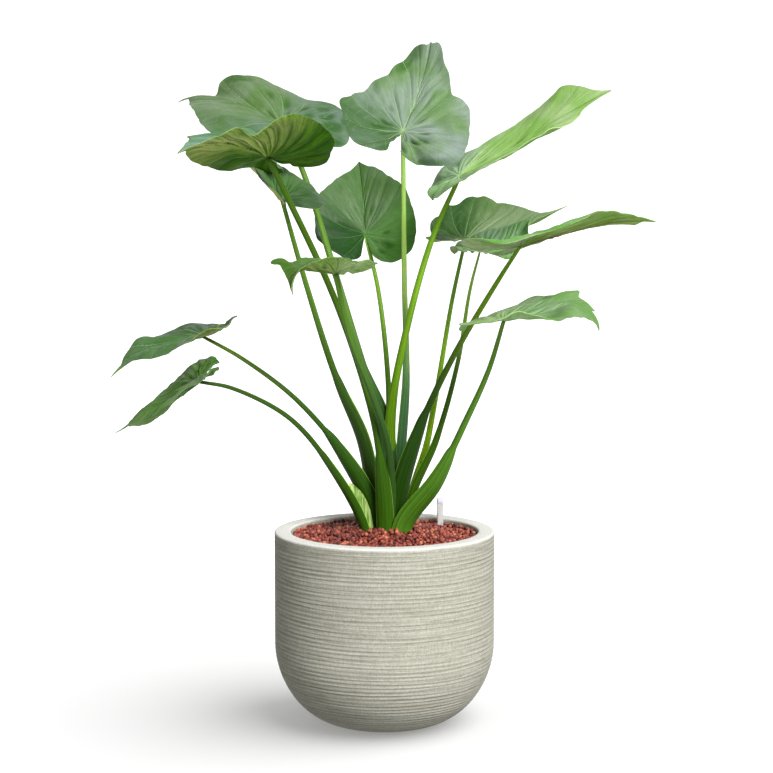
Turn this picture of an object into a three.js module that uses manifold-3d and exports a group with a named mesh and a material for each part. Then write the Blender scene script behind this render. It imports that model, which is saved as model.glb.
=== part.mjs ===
// Hooded dwarf elephant ear in a round ridged planter.
// Thirteen heart-shaped blades on sheathed stalks grow from a rootstock buried in red clay
// granules, and a flat water-level indicator stands at the back of the planter.
// Millimetres, +Z up, front towards -Y, origin at the centre of the planter's flat base.

import * as THREE from 'three';
import { mergeVertices } from 'three/addons/utils/BufferGeometryUtils.js';
import Module from 'manifold-3d';

const wasm = await Module();
wasm.setup();

// Driving dimensions

const gap = 0.3; // left between pieces that touch

const pot = {
  radius: 140,
  height: 245,
  rimInnerRadius: 119,
  rimRound: 4,
  baseRadius: 58,
  footHeight: 102, // the wall is upright above this
  footRoundness: 1.9, // exponent of the rounded foot, 2 is an ellipse
  floorThickness: 20,
  floorRadius: 46,
  footRidges: 14,
  wallRidges: 13,
  ridgeRelief: 0.7,
  insideSteps: 6,
  sides: 28,
};

const granules = {
  top: 235, // at the planter's wall
  moundHeight: 11, // in the middle, above the top at the wall
  moundRadius: 85,
  rings: 14,
  bump: [2.5, 5],
  hollow: [-0.8, 0.8],
  shift: 1.3, // sideways, at random
  collar: 8, // height of the upright band under the surface
  footSteps: 5,
  seed: 7,
};

const rootstock = {
  centre: [2, 24],
  radius: [58, 46],
  bottom: 150,
  top: 208,
  bottomShare: 0.55, // of the radius, at the bottom
  shoulderShare: 0.4, // of the height, where the dome begins
  domeSteps: 5,
  sides: 16,
};

const indicator = {
  place: [73.5, 84],
  turn: 0.2, // radians about +Z
  width: 8.4,
  depth: 4.8,
  corner: 1.2,
  wall: 1.1,
  bottom: 128,
  top: 266,
  capHeight: 6,
  capOverhang: 0.4,
  floatWidth: 3.6,
  floatDepth: 1.6,
  floatCorner: 0.3,
  floatLength: 110,
};

const blade = {
  thickness: 0.9,
  rings: 4,
  columns: 25, // directions from the stalk, across the whole blade
  crowding: 1.5, // exponent that draws the columns together towards the tip
  clearance: 8, // height above a blade that its stalk keeps out of
};

const stalk = {
  sides: 8,
  steps: 11,
  sheathThickness: 4.4,
  sheathShoulder: 4, // the higher, the wider the sheath stays towards its top
  crownMiddle: [2, 60], // the sheaths' backs face away from here
  sharpest: 0.4, // limits how far an offset corner moves out
};

const scaleLeaf = {
  way: [[-15, 13, 204], [-18, 13, 261], [-30, 12, 290], [-42, 12, 306]],
  halfWidth: 6,
  thickness: 1.8,
  taper: 0.85,
  taperStart: 1.6, // exponent: the higher, the later the scale narrows
  steps: 5,
  sides: 6,
};

// The blade's outline: distance from the stalk to the margin as a share of the length

const outlineBody = 0.6;
const shoulder = { share: 0.28, spread: 28 };
const dripTip = { share: 0.12, spread: 6 };
const lobe = { from: 95, span: 80, roundness: 2.4 };
const notchEdge = 166; // degrees from the tip where the blade stops, on either side
const tipBendFrom = 0.55; // share of the length
const halfSpan = 0.55; // share of the width over which a half curls
const ripples = { rate: 8, shift: [-37, 23], start: 20 }; // small bays of the margin, degrees
const waveStart = { span: 25, least: 0.1 }; // degrees from the tip over which the wave grows
const liftStart = 3; // exponent: the higher, the closer to the margin a lift sets in
const lobeStart = { from: 60, to: 130 }; // degrees over which short back lobes set in

// Curves that leaves and stalks share

const radians = THREE.MathUtils.degToRad;

// A step along a path that starts at an angle and turns evenly, over a span, by an angle
function arc(start, turn, distance, span) {
  const rate = Math.abs(turn) < 1e-4 ? 1e-4 / span : turn / span;
  const end = start + rate * distance;
  return {
    forward: (Math.sin(end) - Math.sin(start)) / rate,
    rise: (Math.cos(start) - Math.cos(end)) / rate,
    end,
  };
}

// The sum of a margin's single swells at an angle. Each is [angle, spread, size].
function swellsAt(swells, angle) {
  return swells.reduce(
    (sum, [middle, spread, size]) => sum + size * Math.exp(-(((angle - middle) / spread) ** 2)),
    0,
  );
}

function outline(away, lobes) {
  const tips = shoulder.share * Math.exp(-away / shoulder.spread)
    + dripTip.share * Math.exp(-away / dripTip.spread);
  const turn = THREE.MathUtils.clamp((away - lobe.from) / lobe.span, 0, 1);
  const back = THREE.MathUtils.smoothstep(away, lobeStart.from, lobeStart.to);
  return (outlineBody + tips) * Math.sqrt(1 - turn ** lobe.roundness) * (1 + (lobes - 1) * back);
}

// A point of the blade's middle surface, in the leaf's own frame: the tip lies along +X, the left
// half along +Y. "share" runs from the stalk to the margin, "angle" is in degrees from the tip.
function bladePoint(leaf, share, angle) {
  const side = angle >= 0 ? 0 : 1;
  const away = Math.abs(angle);
  const phase = radians(leaf.waves * away + leaf.waveShift[side]);
  const bay = Math.sin(radians(ripples.rate * away + ripples.shift[side]));
  const ripple = 1 + leaf.ripple * bay * Math.min(1, away / ripples.start)
    + swellsAt(leaf.bays, angle);
  const reach = leaf.length * outline(Math.min(away, notchEdge), leaf.lobes) * ripple * share;
  const along = reach * Math.cos(radians(away));
  const across = reach * leaf.width * Math.sin(radians(away));
  const wave = leaf.wave[side] * leaf.length * share ** 2 * Math.sin(phase)
    * Math.min(1, away / waveStart.span + waveStart.least);

  const span = halfSpan * leaf.length * leaf.width;
  const half = arc(radians(leaf.fold[side]), radians(leaf.curl[side]), across, span);
  const sideways = side === 0 ? half.forward : -half.forward;
  const lift = half.rise + wave + swellsAt(leaf.lifts, angle) * share ** liftStart;

  const bend = radians(along >= 0 ? leaf.bend : leaf.lobeBend);
  const tipStart = tipBendFrom * leaf.length;
  const first = arc(0, bend, Math.min(along, tipStart), leaf.length);
  const tipTurn = bend * (1 - tipBendFrom) + radians(leaf.tipBend);
  const beyond = Math.max(0, along - tipStart);
  const last = arc(first.end, tipTurn, beyond, leaf.length - tipStart);
  const twist = radians(leaf.twist) * along / leaf.length;
  const y = sideways * Math.cos(twist) - lift * Math.sin(twist);
  const z = sideways * Math.sin(twist) + lift * Math.cos(twist);
  return new THREE.Vector3(
    first.forward + last.forward + z * Math.sin(last.end),
    y,
    z * Math.cos(last.end) - first.rise - last.rise,
  );
}

// Leaves

// "at" is where the stalk meets the blade. "heading" is the tip's direction seen from above,
// anticlockwise from +X, "pitch" lifts the tip and "roll" lifts the left half. The left side comes
// first in each pair. "length" runs from the stalk to the tip, "width" is a share of it. "fold" and
// "curl" raise the halves at the midrib and towards the margin. "bend", "lobeBend" and "tipBend"
// lower the blade, its back lobes and its tip. "wave" is the margin's swing as a share of the
// length, "waves" their rate and "waveShift" their start. "ripple" is the depth of the margin's
// small bays and "lobes" scales the back lobes. "bays" are places where the margin reaches out
// or in, as [angle, spread, share], and "lifts" where it bends up or down, as [angle, spread,
// height]; their angles are in degrees from the tip, with the left half positive. "stalk" lists
// the stalk's way up from the rootstock to the blade, "thick" its radius above the sheath and at
// the blade, and "sheath" the half width at the foot, the wrap at the foot and the height at
// which the sheath ends.
const leaves = [
  {
    name: 'a', at: [26, 30, 750], heading: 66, pitch: 42, roll: 5,
    length: 150, width: 0.9, fold: [18, 0], curl: [12, -30], bend: -24, lobeBend: -18, tipBend: 0,
    twist: 0, wave: [0.015, 0.015], waves: 3, waveShift: [50, 120], lobes: 1, ripple: 0.035,
    bays: [
      [12, 7, 0.09], [-8, 5, 0.06], [0, 3.5, -0.05], [-31, 8, -0.06], [58, 9, -0.09],
      [84, 8, 0.08], [110, 15, -0.12], [150, 16, -0.08], [-80, 10, 0.05], [-132, 18, -0.1],
    ],
    lifts: [[14, 8, -8], [-132, 22, -12]],
    stalk: [[14, 46, 196], [16, 46, 269], [20, 44, 344], [25, 41, 445], [22, 37, 560]],
    thick: [3.5, 2.6], sheath: [7, 3, 410], colour: 0x6f9a76,
  },
  {
    name: 'b', at: [-136, 115, 763], heading: 152, pitch: 29, roll: -24,
    length: 178, width: 0.92, fold: [26, 8], curl: [-45, -20], bend: 36, lobeBend: 0, tipBend: 6,
    twist: -5, wave: [0.012, 0.055], waves: 4.3, waveShift: [-145, -25], lobes: 1, ripple: 0.015,
    bays: [],
    lifts: [[0, 4, 12], [-9, 5, -7], [-28, 14, 4]],
    stalk: [[3, 26, 196], [3, 27, 280], [0, 34, 369], [-25, 43, 443], [-68, 60, 584]],
    thick: [4.4, 2.7], sheath: [14, 6, 450], colour: 0x6a9168,
  },
  {
    name: 'c', at: [-140, -85, 713], heading: 235, pitch: 20, roll: -14,
    length: 155, width: 0.88, fold: [22, 4], curl: [29, -52], bend: 40, lobeBend: -25, tipBend: 6,
    twist: 0, wave: [0.012, 0.045], waves: 3.5, waveShift: [-142, 43], lobes: 1, ripple: 0.04,
    bays: [],
    lifts: [[38, 9, -7.5], [28, 5, 4], [150, 20, -3]],
    stalk: [[2, 6, 196], [1, 4, 255], [-3, -4, 315], [-14, -15, 390], [-60, -40, 533]],
    thick: [4.2, 2.8], sheath: [15, 6, 385], colour: 0x6c8a48,
  },
  {
    name: 'd', at: [-130, 25, 664], heading: 116, pitch: 30, roll: 0,
    length: 100, width: 0.98, fold: [38, 32], curl: [6, -57], bend: -17, lobeBend: -15, tipBend: 64,
    twist: -3, wave: [0.011, 0.011], waves: 2.7, waveShift: [104, 76], lobes: 1, ripple: 0.015,
    bays: [],
    lifts: [[-38, 22, -8]],
    stalk: [[-13, 36, 196], [-14, 36, 271], [-26, 34, 353], [-62, 32, 440], [-100, 29, 550]],
    thick: [2.9, 2], sheath: [14, 6, 441], colour: 0x3f6a35,
  },
  {
    name: 'e', at: [-26, 120, 621], heading: 97, pitch: 65, roll: 0,
    length: 123, width: 0.96, fold: [36, 8], curl: [-35, 40], bend: 20, lobeBend: -20, tipBend: 10,
    twist: -14, wave: [0.016, 0.01], waves: 4.4, waveShift: [-146, 89], lobes: 1, ripple: 0.015,
    bays: [[145, 18, -0.05], [-15, 8, 0.03], [-120, 10, 0.07]],
    lifts: [],
    stalk: [[6, 47, 196], [7, 49, 276], [6, 60, 345], [5, 76, 432], [-7, 99, 545]],
    thick: [2.3, 1.8], sheath: [6, 3, 350], colour: 0x3d6b3a,
  },
  {
    name: 'f', at: [-58, -120, 574], heading: 224, pitch: 9, roll: 7,
    length: 87, width: 1.08, fold: [32, 2], curl: [-48, 40], bend: 11, lobeBend: -10, tipBend: 88,
    twist: 0, wave: [0.014, 0.037], waves: 4.5, waveShift: [35, -52], lobes: 1, ripple: 0,
    bays: [[-34, 7, 0.2]],
    lifts: [[-34, 7, -4], [-152, 18, 8]],
    stalk: [[8, 14, 196], [8, 14, 268], [5, -14, 352], [-14, -38, 417], [-42, -72, 495]],
    thick: [2.6, 1.8], sheath: [7, 3, 340], colour: 0x66904c,
  },
  {
    name: 'g', at: [-228, -10, 492], heading: 195, pitch: -7, roll: -4,
    length: 125, width: 0.92, fold: [13, 6], curl: [-8, -7], bend: 28, lobeBend: -110, tipBend: 10,
    twist: -12, wave: [0.027, 0.04], waves: 4.5, waveShift: [60, 26], lobes: 1, ripple: 0.015,
    bays: [[-22, 9, -0.07], [-136, 26, -0.42], [0, 5, -0.08]],
    lifts: [[-22, 9, 10], [0, 4, 3]],
    stalk: [[-14, 20, 196], [-15, 20, 267], [-52, 14, 339], [-110, 6, 412], [-180, -2, 464]],
    thick: [3, 2], sheath: [13, 5, 372], colour: 0x5d8a55,
  },
  {
    name: 'h', at: [-225, -90, 442], heading: 170, pitch: -37, roll: -9,
    length: 122, width: 0.88, fold: [9, 27], curl: [-18, -27], bend: -13, lobeBend: -115, tipBend: 0,
    twist: 0, wave: [0.05, 0.037], waves: 3.3, waveShift: [160, -150], lobes: 1, ripple: 0.015,
    bays: [[-138, 24, -0.42], [145, 25, -0.42], [0, 5, -0.08]],
    lifts: [[-62, 12, -6], [-138, 24, -10], [145, 25, -10]],
    stalk: [[-20, 6, 196], [-27, 5, 251], [-75, -21, 340], [-120, -42, 394], [-186, -69, 432]],
    thick: [3, 1.9], sheath: [10, 5, 350], colour: 0x4c7a42,
  },
  {
    name: 'i', at: [94, -20, 693], heading: -20, pitch: 22, roll: 25,
    length: 214, width: 0.61, fold: [20, 4], curl: [-40, 20], bend: -20, lobeBend: 95, tipBend: 20,
    twist: 17, wave: [0.013, 0.034], waves: 3.5, waveShift: [90, -74], lobes: 0.56, ripple: 0.02,
    bays: [[-140, 18, -0.15]],
    lifts: [[12, 8, 13], [-14, 5, -4], [-22, 4, 8], [-138, 18, -12]],
    stalk: [[9, 38, 196], [10, 38, 277], [8, 26, 386], [25, 14, 486], [59, -3, 612]],
    thick: [4.5, 2.6], sheath: [8, 4, 430], colour: 0x8bbb5c,
  },
  {
    name: 'j', at: [109, 160, 613], heading: -2, pitch: 6, roll: 3,
    length: 131, width: 1.02, fold: [22, 2], curl: [34, 0], bend: -22, lobeBend: -27, tipBend: 0,
    twist: 3, wave: [0.012, 0.01], waves: 3.3, waveShift: [56, 124], lobes: 1, ripple: 0.015,
    bays: [[98, 9, -0.1], [80, 8, 0.05], [50, 10, -0.05]],
    lifts: [],
    stalk: [[28, 44, 196], [32, 44, 275], [55, 61, 350], [69, 80, 418], [89, 112, 530]],
    thick: [3.2, 1.9], sheath: [7, 4, 372], colour: 0x5f8f62,
  },
  {
    name: 'k', at: [163, -102, 606], heading: 2, pitch: 18, roll: -17,
    length: 173, width: 0.72, fold: [17, 4], curl: [-8, -23], bend: 9, lobeBend: -73, tipBend: 16,
    twist: 0, wave: [0.021, 0.018], waves: 4.2, waveShift: [-130, -54], lobes: 1, ripple: 0.02,
    bays: [[0, 5, -0.05]],
    lifts: [[9, 6, -5]],
    stalk: [[17, 22, 196], [19, 22, 267], [42, -2, 364], [85, -31, 464], [140, -75, 567]],
    thick: [4, 2.2], sheath: [13, 6, 398], colour: 0x7f9a4a,
  },
  {
    name: 'l', at: [122, 25, 601], heading: 30, pitch: 11, roll: 4,
    length: 88, width: 0.98, fold: [19, 13], curl: [-31, -30], bend: -22, lobeBend: -23, tipBend: -8,
    twist: 12, wave: [0.023, 0.023], waves: 3.2, waveShift: [-113, -67], lobes: 1, ripple: 0.015,
    bays: [[125, 22, -0.25]],
    lifts: [],
    stalk: [[28, 34, 196], [33, 34, 278], [68, 33, 361], [96, 31, 459], [109, 27, 549]],
    thick: [2.4, 1.4], sheath: [8, 4, 372], colour: 0x6b9a76,
  },
  {
    name: 'm', at: [143, -115, 518], heading: 0, pitch: 10, roll: 0,
    length: 130, width: 0.87, fold: [20, 5], curl: [-31, -6], bend: -6, lobeBend: 9, tipBend: 88,
    twist: 27, wave: [0.016, 0.031], waves: 3.7, waveShift: [112, 166], lobes: 1, ripple: 0.03,
    bays: [],
    lifts: [[24, 4, 5], [12, 4, -5], [-80, 10, 5]],
    stalk: [[20, 4, 196], [27, 1, 251], [62, -21, 310], [102, -53, 393], [127, -79, 455]],
    thick: [3.8, 2.2], sheath: [15, 6, 355], colour: 0x5f9050,
  },
];

// Closed shapes from rings and from sheets

// Turns a closed geometry into a solid that can be cut and joined
function toSolid(geometry) {
  geometry.deleteAttribute('normal');
  geometry.deleteAttribute('uv');
  const merged = mergeVertices(geometry, 1e-3);
  const corners = merged.index.array;
  const kept = [];
  for (let i = 0; i < corners.length; i += 3) {
    const [a, b, c] = [corners[i], corners[i + 1], corners[i + 2]];
    if (a !== b && b !== c && c !== a) kept.push(a, b, c);
  }
  return new wasm.Manifold(new wasm.Mesh({
    numProp: 3,
    vertProperties: Float32Array.from(merged.attributes.position.array),
    triVerts: Uint32Array.from(kept),
  }));
}

function toGeometry(solid) {
  const mesh = solid.getMesh();
  const geometry = new THREE.BufferGeometry();
  geometry.setAttribute('position', new THREE.BufferAttribute(mesh.vertProperties, mesh.numProp));
  geometry.setIndex(new THREE.BufferAttribute(mesh.triVerts, 1));
  geometry.computeVertexNormals();
  return geometry;
}

function geometryFrom(points, corners) {
  const geometry = new THREE.BufferGeometry().setFromPoints(points);
  geometry.setIndex(corners);
  geometry.computeVertexNormals();
  return geometry;
}

// What a cut leaves of a piece, without its loose slivers
function largestPiece(solid) {
  const pieces = solid.decompose();
  return pieces.reduce((best, next) => (next.volume() > best.volume() ? next : best));
}

// Triangles that fill a ring, zigzag from its first point to its opposite one
function fillRing(start, count) {
  const corners = [];
  let low = 0;
  let high = count - 1;
  while (high - low > 1) {
    corners.push(start + low, start + low + 1, start + high);
    low += 1;
    if (high - low > 1) corners.push(start + low, start + high - 1, start + high);
    high -= 1;
  }
  return corners;
}

// A closed geometry through rings of points, from the lowest up, each anticlockwise from above.
// Rings may differ in their number of points, down to a single one.
function stackRings(rings) {
  const starts = [];
  let total = 0;
  for (const ring of rings) {
    starts.push(total);
    total += ring.length;
  }
  const corners = fillRing(starts[0], rings[0].length).reverse();
  for (let r = 0; r + 1 < rings.length; r += 1) {
    const [low, high] = [rings[r].length, rings[r + 1].length];
    let [i, j] = [0, 0];
    while (i < (low > 1 ? low : 0) || j < (high > 1 ? high : 0)) {
      const nextLow = low > 1 && i < low ? (i + 1) / low : Infinity;
      const nextHigh = high > 1 && j < high ? (j + 1) / high : Infinity;
      const a = starts[r] + (i % low);
      const b = starts[r + 1] + (j % high);
      if (nextLow <= nextHigh) {
        i += 1;
        corners.push(a, starts[r] + (i % low), b);
      } else {
        j += 1;
        corners.push(a, starts[r + 1] + (j % high), b);
      }
    }
  }
  const last = rings.length - 1;
  corners.push(...fillRing(starts[last], rings[last].length));
  return geometryFrom(rings.flat(), corners);
}

// A repeatable source of random numbers from 0 to 1
function randomFrom(seed) {
  let state = seed;
  return () => {
    state = (state + 0x6d2b79f5) | 0;
    let mixed = Math.imul(state ^ (state >>> 15), 1 | state);
    mixed = (mixed + Math.imul(mixed ^ (mixed >>> 7), 61 | mixed)) ^ mixed;
    return ((mixed ^ (mixed >>> 14)) >>> 0) / 4294967296;
  };
}

function ringOfPoints(count, radius, height) {
  return Array.from({ length: count }, (_, k) => {
    const turn = 2 * Math.PI * k / count;
    return new THREE.Vector3(radius * Math.cos(turn), radius * Math.sin(turn), height);
  });
}

// A lathe geometry turned upright from [radius, height] pairs
function turned(profile, sides) {
  const points = profile.map(([radius, height]) => new THREE.Vector2(radius, height));
  return new THREE.LatheGeometry(points, sides).rotateX(Math.PI / 2);
}

// Blades

function leafMatrix(leaf) {
  const turn = new THREE.Euler(
    radians(leaf.roll),
    -radians(leaf.pitch),
    radians(leaf.heading),
    'ZYX',
  );
  const matrix = new THREE.Matrix4().makeRotationFromEuler(turn);
  return matrix.setPosition(...leaf.at);
}

// Directions from the stalk, closer together towards the drip tip
function bladeAngles(edge) {
  return Array.from({ length: blade.columns }, (_, k) => {
    const place = 2 * k / (blade.columns - 1) - 1;
    return edge * Math.sign(place) * Math.abs(place) ** blade.crowding;
  });
}

// The blade's middle surface as points and triangles, first the point over the stalk. A whole
// sheet has no notch: its two edges meet behind the stalk.
function bladeSheet(leaf, whole) {
  const angles = bladeAngles(whole ? 180 : notchEdge);
  if (whole) angles.pop();
  const points = [bladePoint(leaf, 0, 0)];
  const corners = [];
  for (let r = 1; r <= blade.rings; r += 1) {
    for (const angle of angles) {
      points.push(bladePoint(leaf, r / blade.rings, angle));
    }
  }
  const count = angles.length;
  const at = (r, k) => 1 + (r - 1) * count + (k % count);
  const last = whole ? count : count - 1;
  for (let k = 0; k < last; k += 1) {
    corners.push(0, at(1, k), at(1, k + 1));
    for (let r = 1; r < blade.rings; r += 1) {
      corners.push(at(r, k), at(r + 1, k), at(r + 1, k + 1));
      corners.push(at(r, k), at(r + 1, k + 1), at(r, k + 1));
    }
  }
  const margin = Array.from({ length: count }, (_, k) => at(blade.rings, k));
  const sinus = Array.from({ length: blade.rings - 1 }, (_, r) => r + 1);
  const border = whole ? margin : [
    0,
    ...sinus.map((r) => at(r, 0)),
    ...margin,
    ...sinus.reverse().map((r) => at(r, count - 1)),
  ];
  return { points, corners, border };
}

// A closed sheet that reaches "above" and "below" its middle surface. The part above is shifted
// along the leaf's +Z, or along the surface's own normals where "upright" is false.
function thickSheet({ points, corners, border }, above, below, upright) {
  const middle = geometryFrom(points, corners);
  const normals = middle.getAttribute('normal');
  const count = points.length;
  const top = [];
  const bottom = [];
  points.forEach((point, i) => {
    const normal = new THREE.Vector3().fromBufferAttribute(normals, i);
    const up = upright ? new THREE.Vector3(0, 0, 1) : normal;
    top.push(point.clone().addScaledVector(up, above));
    bottom.push(point.clone().addScaledVector(normal, -below));
  });
  const closed = [...corners];
  for (let i = 0; i < corners.length; i += 3) {
    closed.push(corners[i] + count, corners[i + 2] + count, corners[i + 1] + count);
  }
  border.forEach((a, i) => {
    const b = border[(i + 1) % border.length];
    closed.push(a + count, b + count, b, a + count, b, a);
  });
  return geometryFrom([...top, ...bottom], closed);
}

function bladeGeometry(leaf) {
  return thickSheet(bladeSheet(leaf, false), blade.thickness / 2, blade.thickness / 2, false);
}

// What a stalk must stay clear of at its own blade: the blade's underside with all above it
function bladeClearance(leaf) {
  const sheet = bladeSheet(leaf, true);
  const geometry = thickSheet(sheet, blade.clearance, blade.thickness / 2 + gap, true);
  return toSolid(geometry.applyMatrix4(leafMatrix(leaf)));
}

// Stalks

// A flat oval whose back is pushed out by "wrap", offset by "grow" along its own normals
function stalkSection(width, depth, wrap, grow) {
  const outlinePoints = Array.from({ length: stalk.sides }, (_, k) => {
    const turn = 2 * Math.PI * (k + 0.5) / stalk.sides;
    const back = depth * Math.sin(turn) + wrap * Math.sin(turn) ** 2;
    return new THREE.Vector2(width * Math.cos(turn), back);
  });
  return outlinePoints.map((point, k) => {
    const before = outlinePoints[(k + stalk.sides - 1) % stalk.sides];
    const after = outlinePoints[(k + 1) % stalk.sides];
    const first = point.clone().sub(before).normalize();
    const second = after.clone().sub(point).normalize();
    const corner = first.clone().add(second);
    const normal = new THREE.Vector2(corner.y, -corner.x).normalize();
    const reach = grow / Math.max(stalk.sharpest, normal.x * first.y - normal.y * first.x);
    return point.clone().addScaledVector(normal, reach);
  });
}

// A loft whose section is a crescent at the foot and round above the sheath. The crescent's back
// faces away from the middle of the plant.
function stalkGeometry(leaf, grow) {
  const [foot] = leaf.stalk;
  const way = [...leaf.stalk, leaf.at].map((point) => new THREE.Vector3(...point));
  const curve = new THREE.CatmullRomCurve3(way, false, 'centripetal');
  const outward = new THREE.Vector3(foot[0] - stalk.crownMiddle[0], foot[1] - stalk.crownMiddle[1], 0);
  const [halfWidth, wrap, sheathTop] = leaf.sheath;
  const [lowRadius, highRadius] = leaf.thick;
  const rings = [];
  for (let step = 0; step <= stalk.steps; step += 1) {
    const share = step / stalk.steps;
    const centre = curve.getPoint(share);
    const along = curve.getTangent(share);
    const across = new THREE.Vector3().crossVectors(outward, along).normalize();
    const out = new THREE.Vector3().crossVectors(along, across);
    const climb = (centre.z - foot[2]) / (sheathTop - foot[2]);
    const sheath = 1 - Math.min(1, climb) ** stalk.sheathShoulder;
    const radius = THREE.MathUtils.lerp(lowRadius, highRadius, share);
    const width = THREE.MathUtils.lerp(radius, halfWidth, sheath);
    const depth = THREE.MathUtils.lerp(radius, stalk.sheathThickness / 2, sheath);
    const section = stalkSection(width, depth, wrap * sheath, grow);
    const ring = section.map((point) => centre.clone()
      .addScaledVector(across, point.x)
      .addScaledVector(out, point.y));
    rings.push(ring);
  }
  return stackRings(rings);
}

// Planter

// A point of the rounded foot: share 0 at its top, where the wall is upright, 1 at its base
function footPoint(share, baseRadius, wallRadius, base, top) {
  const turn = share * Math.PI / 2;
  const power = 2 / pot.footRoundness;
  return [
    baseRadius + (wallRadius - baseRadius) * Math.cos(turn) ** power,
    top - (top - base) * Math.sin(turn) ** power,
  ];
}

// The wall as a profile of [radius, height] pairs: up the outside with a groove between every two
// ridges, over the rim and down the inside
function potGeometry() {
  const { radius, height, baseRadius, footHeight, rimInnerRadius, rimRound, ridgeRelief } = pot;
  const profile = [[0, 0]];
  const footPoints = 2 * pot.footRidges;
  for (let i = 0; i <= footPoints; i += 1) {
    const share = 1 - i / footPoints;
    const turn = share * Math.PI / 2;
    const [x, z] = footPoint(share, baseRadius, radius, 0, footHeight);
    const inset = i % 2 === 0 ? 0 : ridgeRelief;
    profile.push([x - inset * Math.cos(turn), z + inset * Math.sin(turn)]);
  }
  const wallPoints = 2 * pot.wallRidges;
  const wallHeight = height - rimRound - footHeight;
  for (let i = 1; i <= wallPoints; i += 1) {
    const inset = i % 2 === 0 ? 0 : ridgeRelief;
    profile.push([radius - inset, footHeight + wallHeight * i / wallPoints]);
  }
  const rimCorner = 0.3 * rimRound;
  profile.push(
    [radius - rimCorner, height - rimCorner],
    [radius - rimRound, height],
    [rimInnerRadius + rimRound, height],
    [rimInnerRadius + rimCorner, height - rimCorner],
    [rimInnerRadius, height - rimRound],
  );
  for (let i = 0; i <= pot.insideSteps; i += 1) {
    const share = i / pot.insideSteps;
    profile.push(footPoint(share, pot.floorRadius, rimInnerRadius, pot.floorThickness, footHeight));
  }
  profile.push([0, pot.floorThickness]);
  return turned(profile, pot.sides);
}

// Granules

// Which third of a triangular lattice a point belongs to, from its hexagonal ring and its place
// along it. One third stands up as granules and the rest are the hollows between them.
function latticeThird(ring, place) {
  const ways = [[1, 0], [0, 1], [-1, 1], [-1, 0], [0, -1], [1, -1]];
  const side = Math.floor(place / ring);
  const step = place % ring;
  const corner = ways[side];
  const along = ways[(side + 2) % 6];
  const column = corner[0] * ring + along[0] * step;
  const row = corner[1] * ring + along[1] * step;
  return (((column - row) % 3) + 3) % 3;
}

function moundAt(x, y) {
  const away = Math.hypot(x - rootstock.centre[0], y - rootstock.centre[1]) / granules.moundRadius;
  return away < 1 ? granules.moundHeight * (1 - away ** 2) ** 2 : 0;
}

// The bed of granules, from its foot on the planter's floor to its rough surface
function granuleGeometry() {
  const random = randomFrom(granules.seed);
  const between = ([low, high]) => low + (high - low) * random();
  const wallRadius = pot.rimInnerRadius * Math.cos(Math.PI / pot.sides) - gap;
  const { rings: ringCount, footSteps, top } = granules;
  const floor = pot.floorThickness + gap;
  const floorRadius = pot.floorRadius - 1;
  const rings = [[new THREE.Vector3(0, 0, floor)]];
  for (let i = footSteps; i >= 0; i -= 1) {
    const share = i / footSteps;
    const [radius, height] = footPoint(share, floorRadius, wallRadius, floor, pot.footHeight + 1);
    rings.push(ringOfPoints(pot.sides, radius, height));
  }
  rings.push(ringOfPoints(pot.sides, wallRadius, top - granules.collar));
  rings.push(ringOfPoints(6 * ringCount, wallRadius, top));
  for (let ring = ringCount - 1; ring >= 1; ring -= 1) {
    const points = ringOfPoints(6 * ring, wallRadius * ring / ringCount, top);
    points.forEach((point, place) => {
      point.x += granules.shift * (2 * random() - 1);
      point.y += granules.shift * (2 * random() - 1);
      const raised = latticeThird(ring, place) === 0;
      point.z += moundAt(point.x, point.y) + between(raised ? granules.bump : granules.hollow);
    });
    rings.push(points);
  }
  rings.push([new THREE.Vector3(0, 0, top + moundAt(0, 0) + granules.bump[0])]);
  return stackRings(rings);
}

// The dome that the stalks grow from
function rootstockGeometry(grow) {
  const { radius, bottom, top, centre, bottomShare, shoulderShare, domeSteps } = rootstock;
  const profile = [[0, bottom - grow], [bottomShare + grow / radius[0], bottom - grow]];
  for (let i = 0; i <= domeSteps; i += 1) {
    const turn = (i / domeSteps) * Math.PI / 2;
    const share = i < domeSteps ? Math.cos(turn) + grow / radius[1] : 0;
    const climb = shoulderShare + (1 - shoulderShare) * Math.sin(turn);
    profile.push([share, bottom + (top - bottom) * climb + grow]);
  }
  return turned(profile, rootstock.sides)
    .scale(radius[0], radius[1], 1)
    .translate(centre[0], centre[1], 0);
}

// A small pale scale leaf between the sheaths
function scaleLeafGeometry(grow) {
  const { way, halfWidth, thickness, taper, taperStart, steps, sides } = scaleLeaf;
  const curve = new THREE.CatmullRomCurve3(way.map((point) => new THREE.Vector3(...point)));
  const rings = [];
  for (let step = 0; step <= steps; step += 1) {
    const share = step / steps;
    const centre = curve.getPoint(share);
    const width = halfWidth * (1 - taper * share ** taperStart) + grow;
    rings.push(Array.from({ length: sides }, (_, k) => {
      const turn = 2 * Math.PI * k / sides;
      const back = (thickness / 2 + grow) * Math.sin(turn);
      return new THREE.Vector3(centre.x + width * Math.cos(turn), centre.y + back, centre.z);
    }));
  }
  return stackRings(rings);
}

// Water-level indicator

function roundedBox(width, depth, corner) {
  const [x, y] = [width / 2, depth / 2];
  const outlineShape = new THREE.Shape();
  outlineShape.moveTo(corner - x, -y);
  outlineShape.lineTo(x - corner, -y);
  outlineShape.absarc(x - corner, corner - y, corner, -Math.PI / 2, 0);
  outlineShape.absarc(x - corner, y - corner, corner, 0, Math.PI / 2);
  outlineShape.absarc(corner - x, y - corner, corner, Math.PI / 2, Math.PI);
  outlineShape.absarc(corner - x, corner - y, corner, Math.PI, 1.5 * Math.PI);
  return outlineShape;
}

function upright(shape, length) {
  return new THREE.ExtrudeGeometry(shape, { depth: length, bevelEnabled: false, curveSegments: 2 });
}

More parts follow.
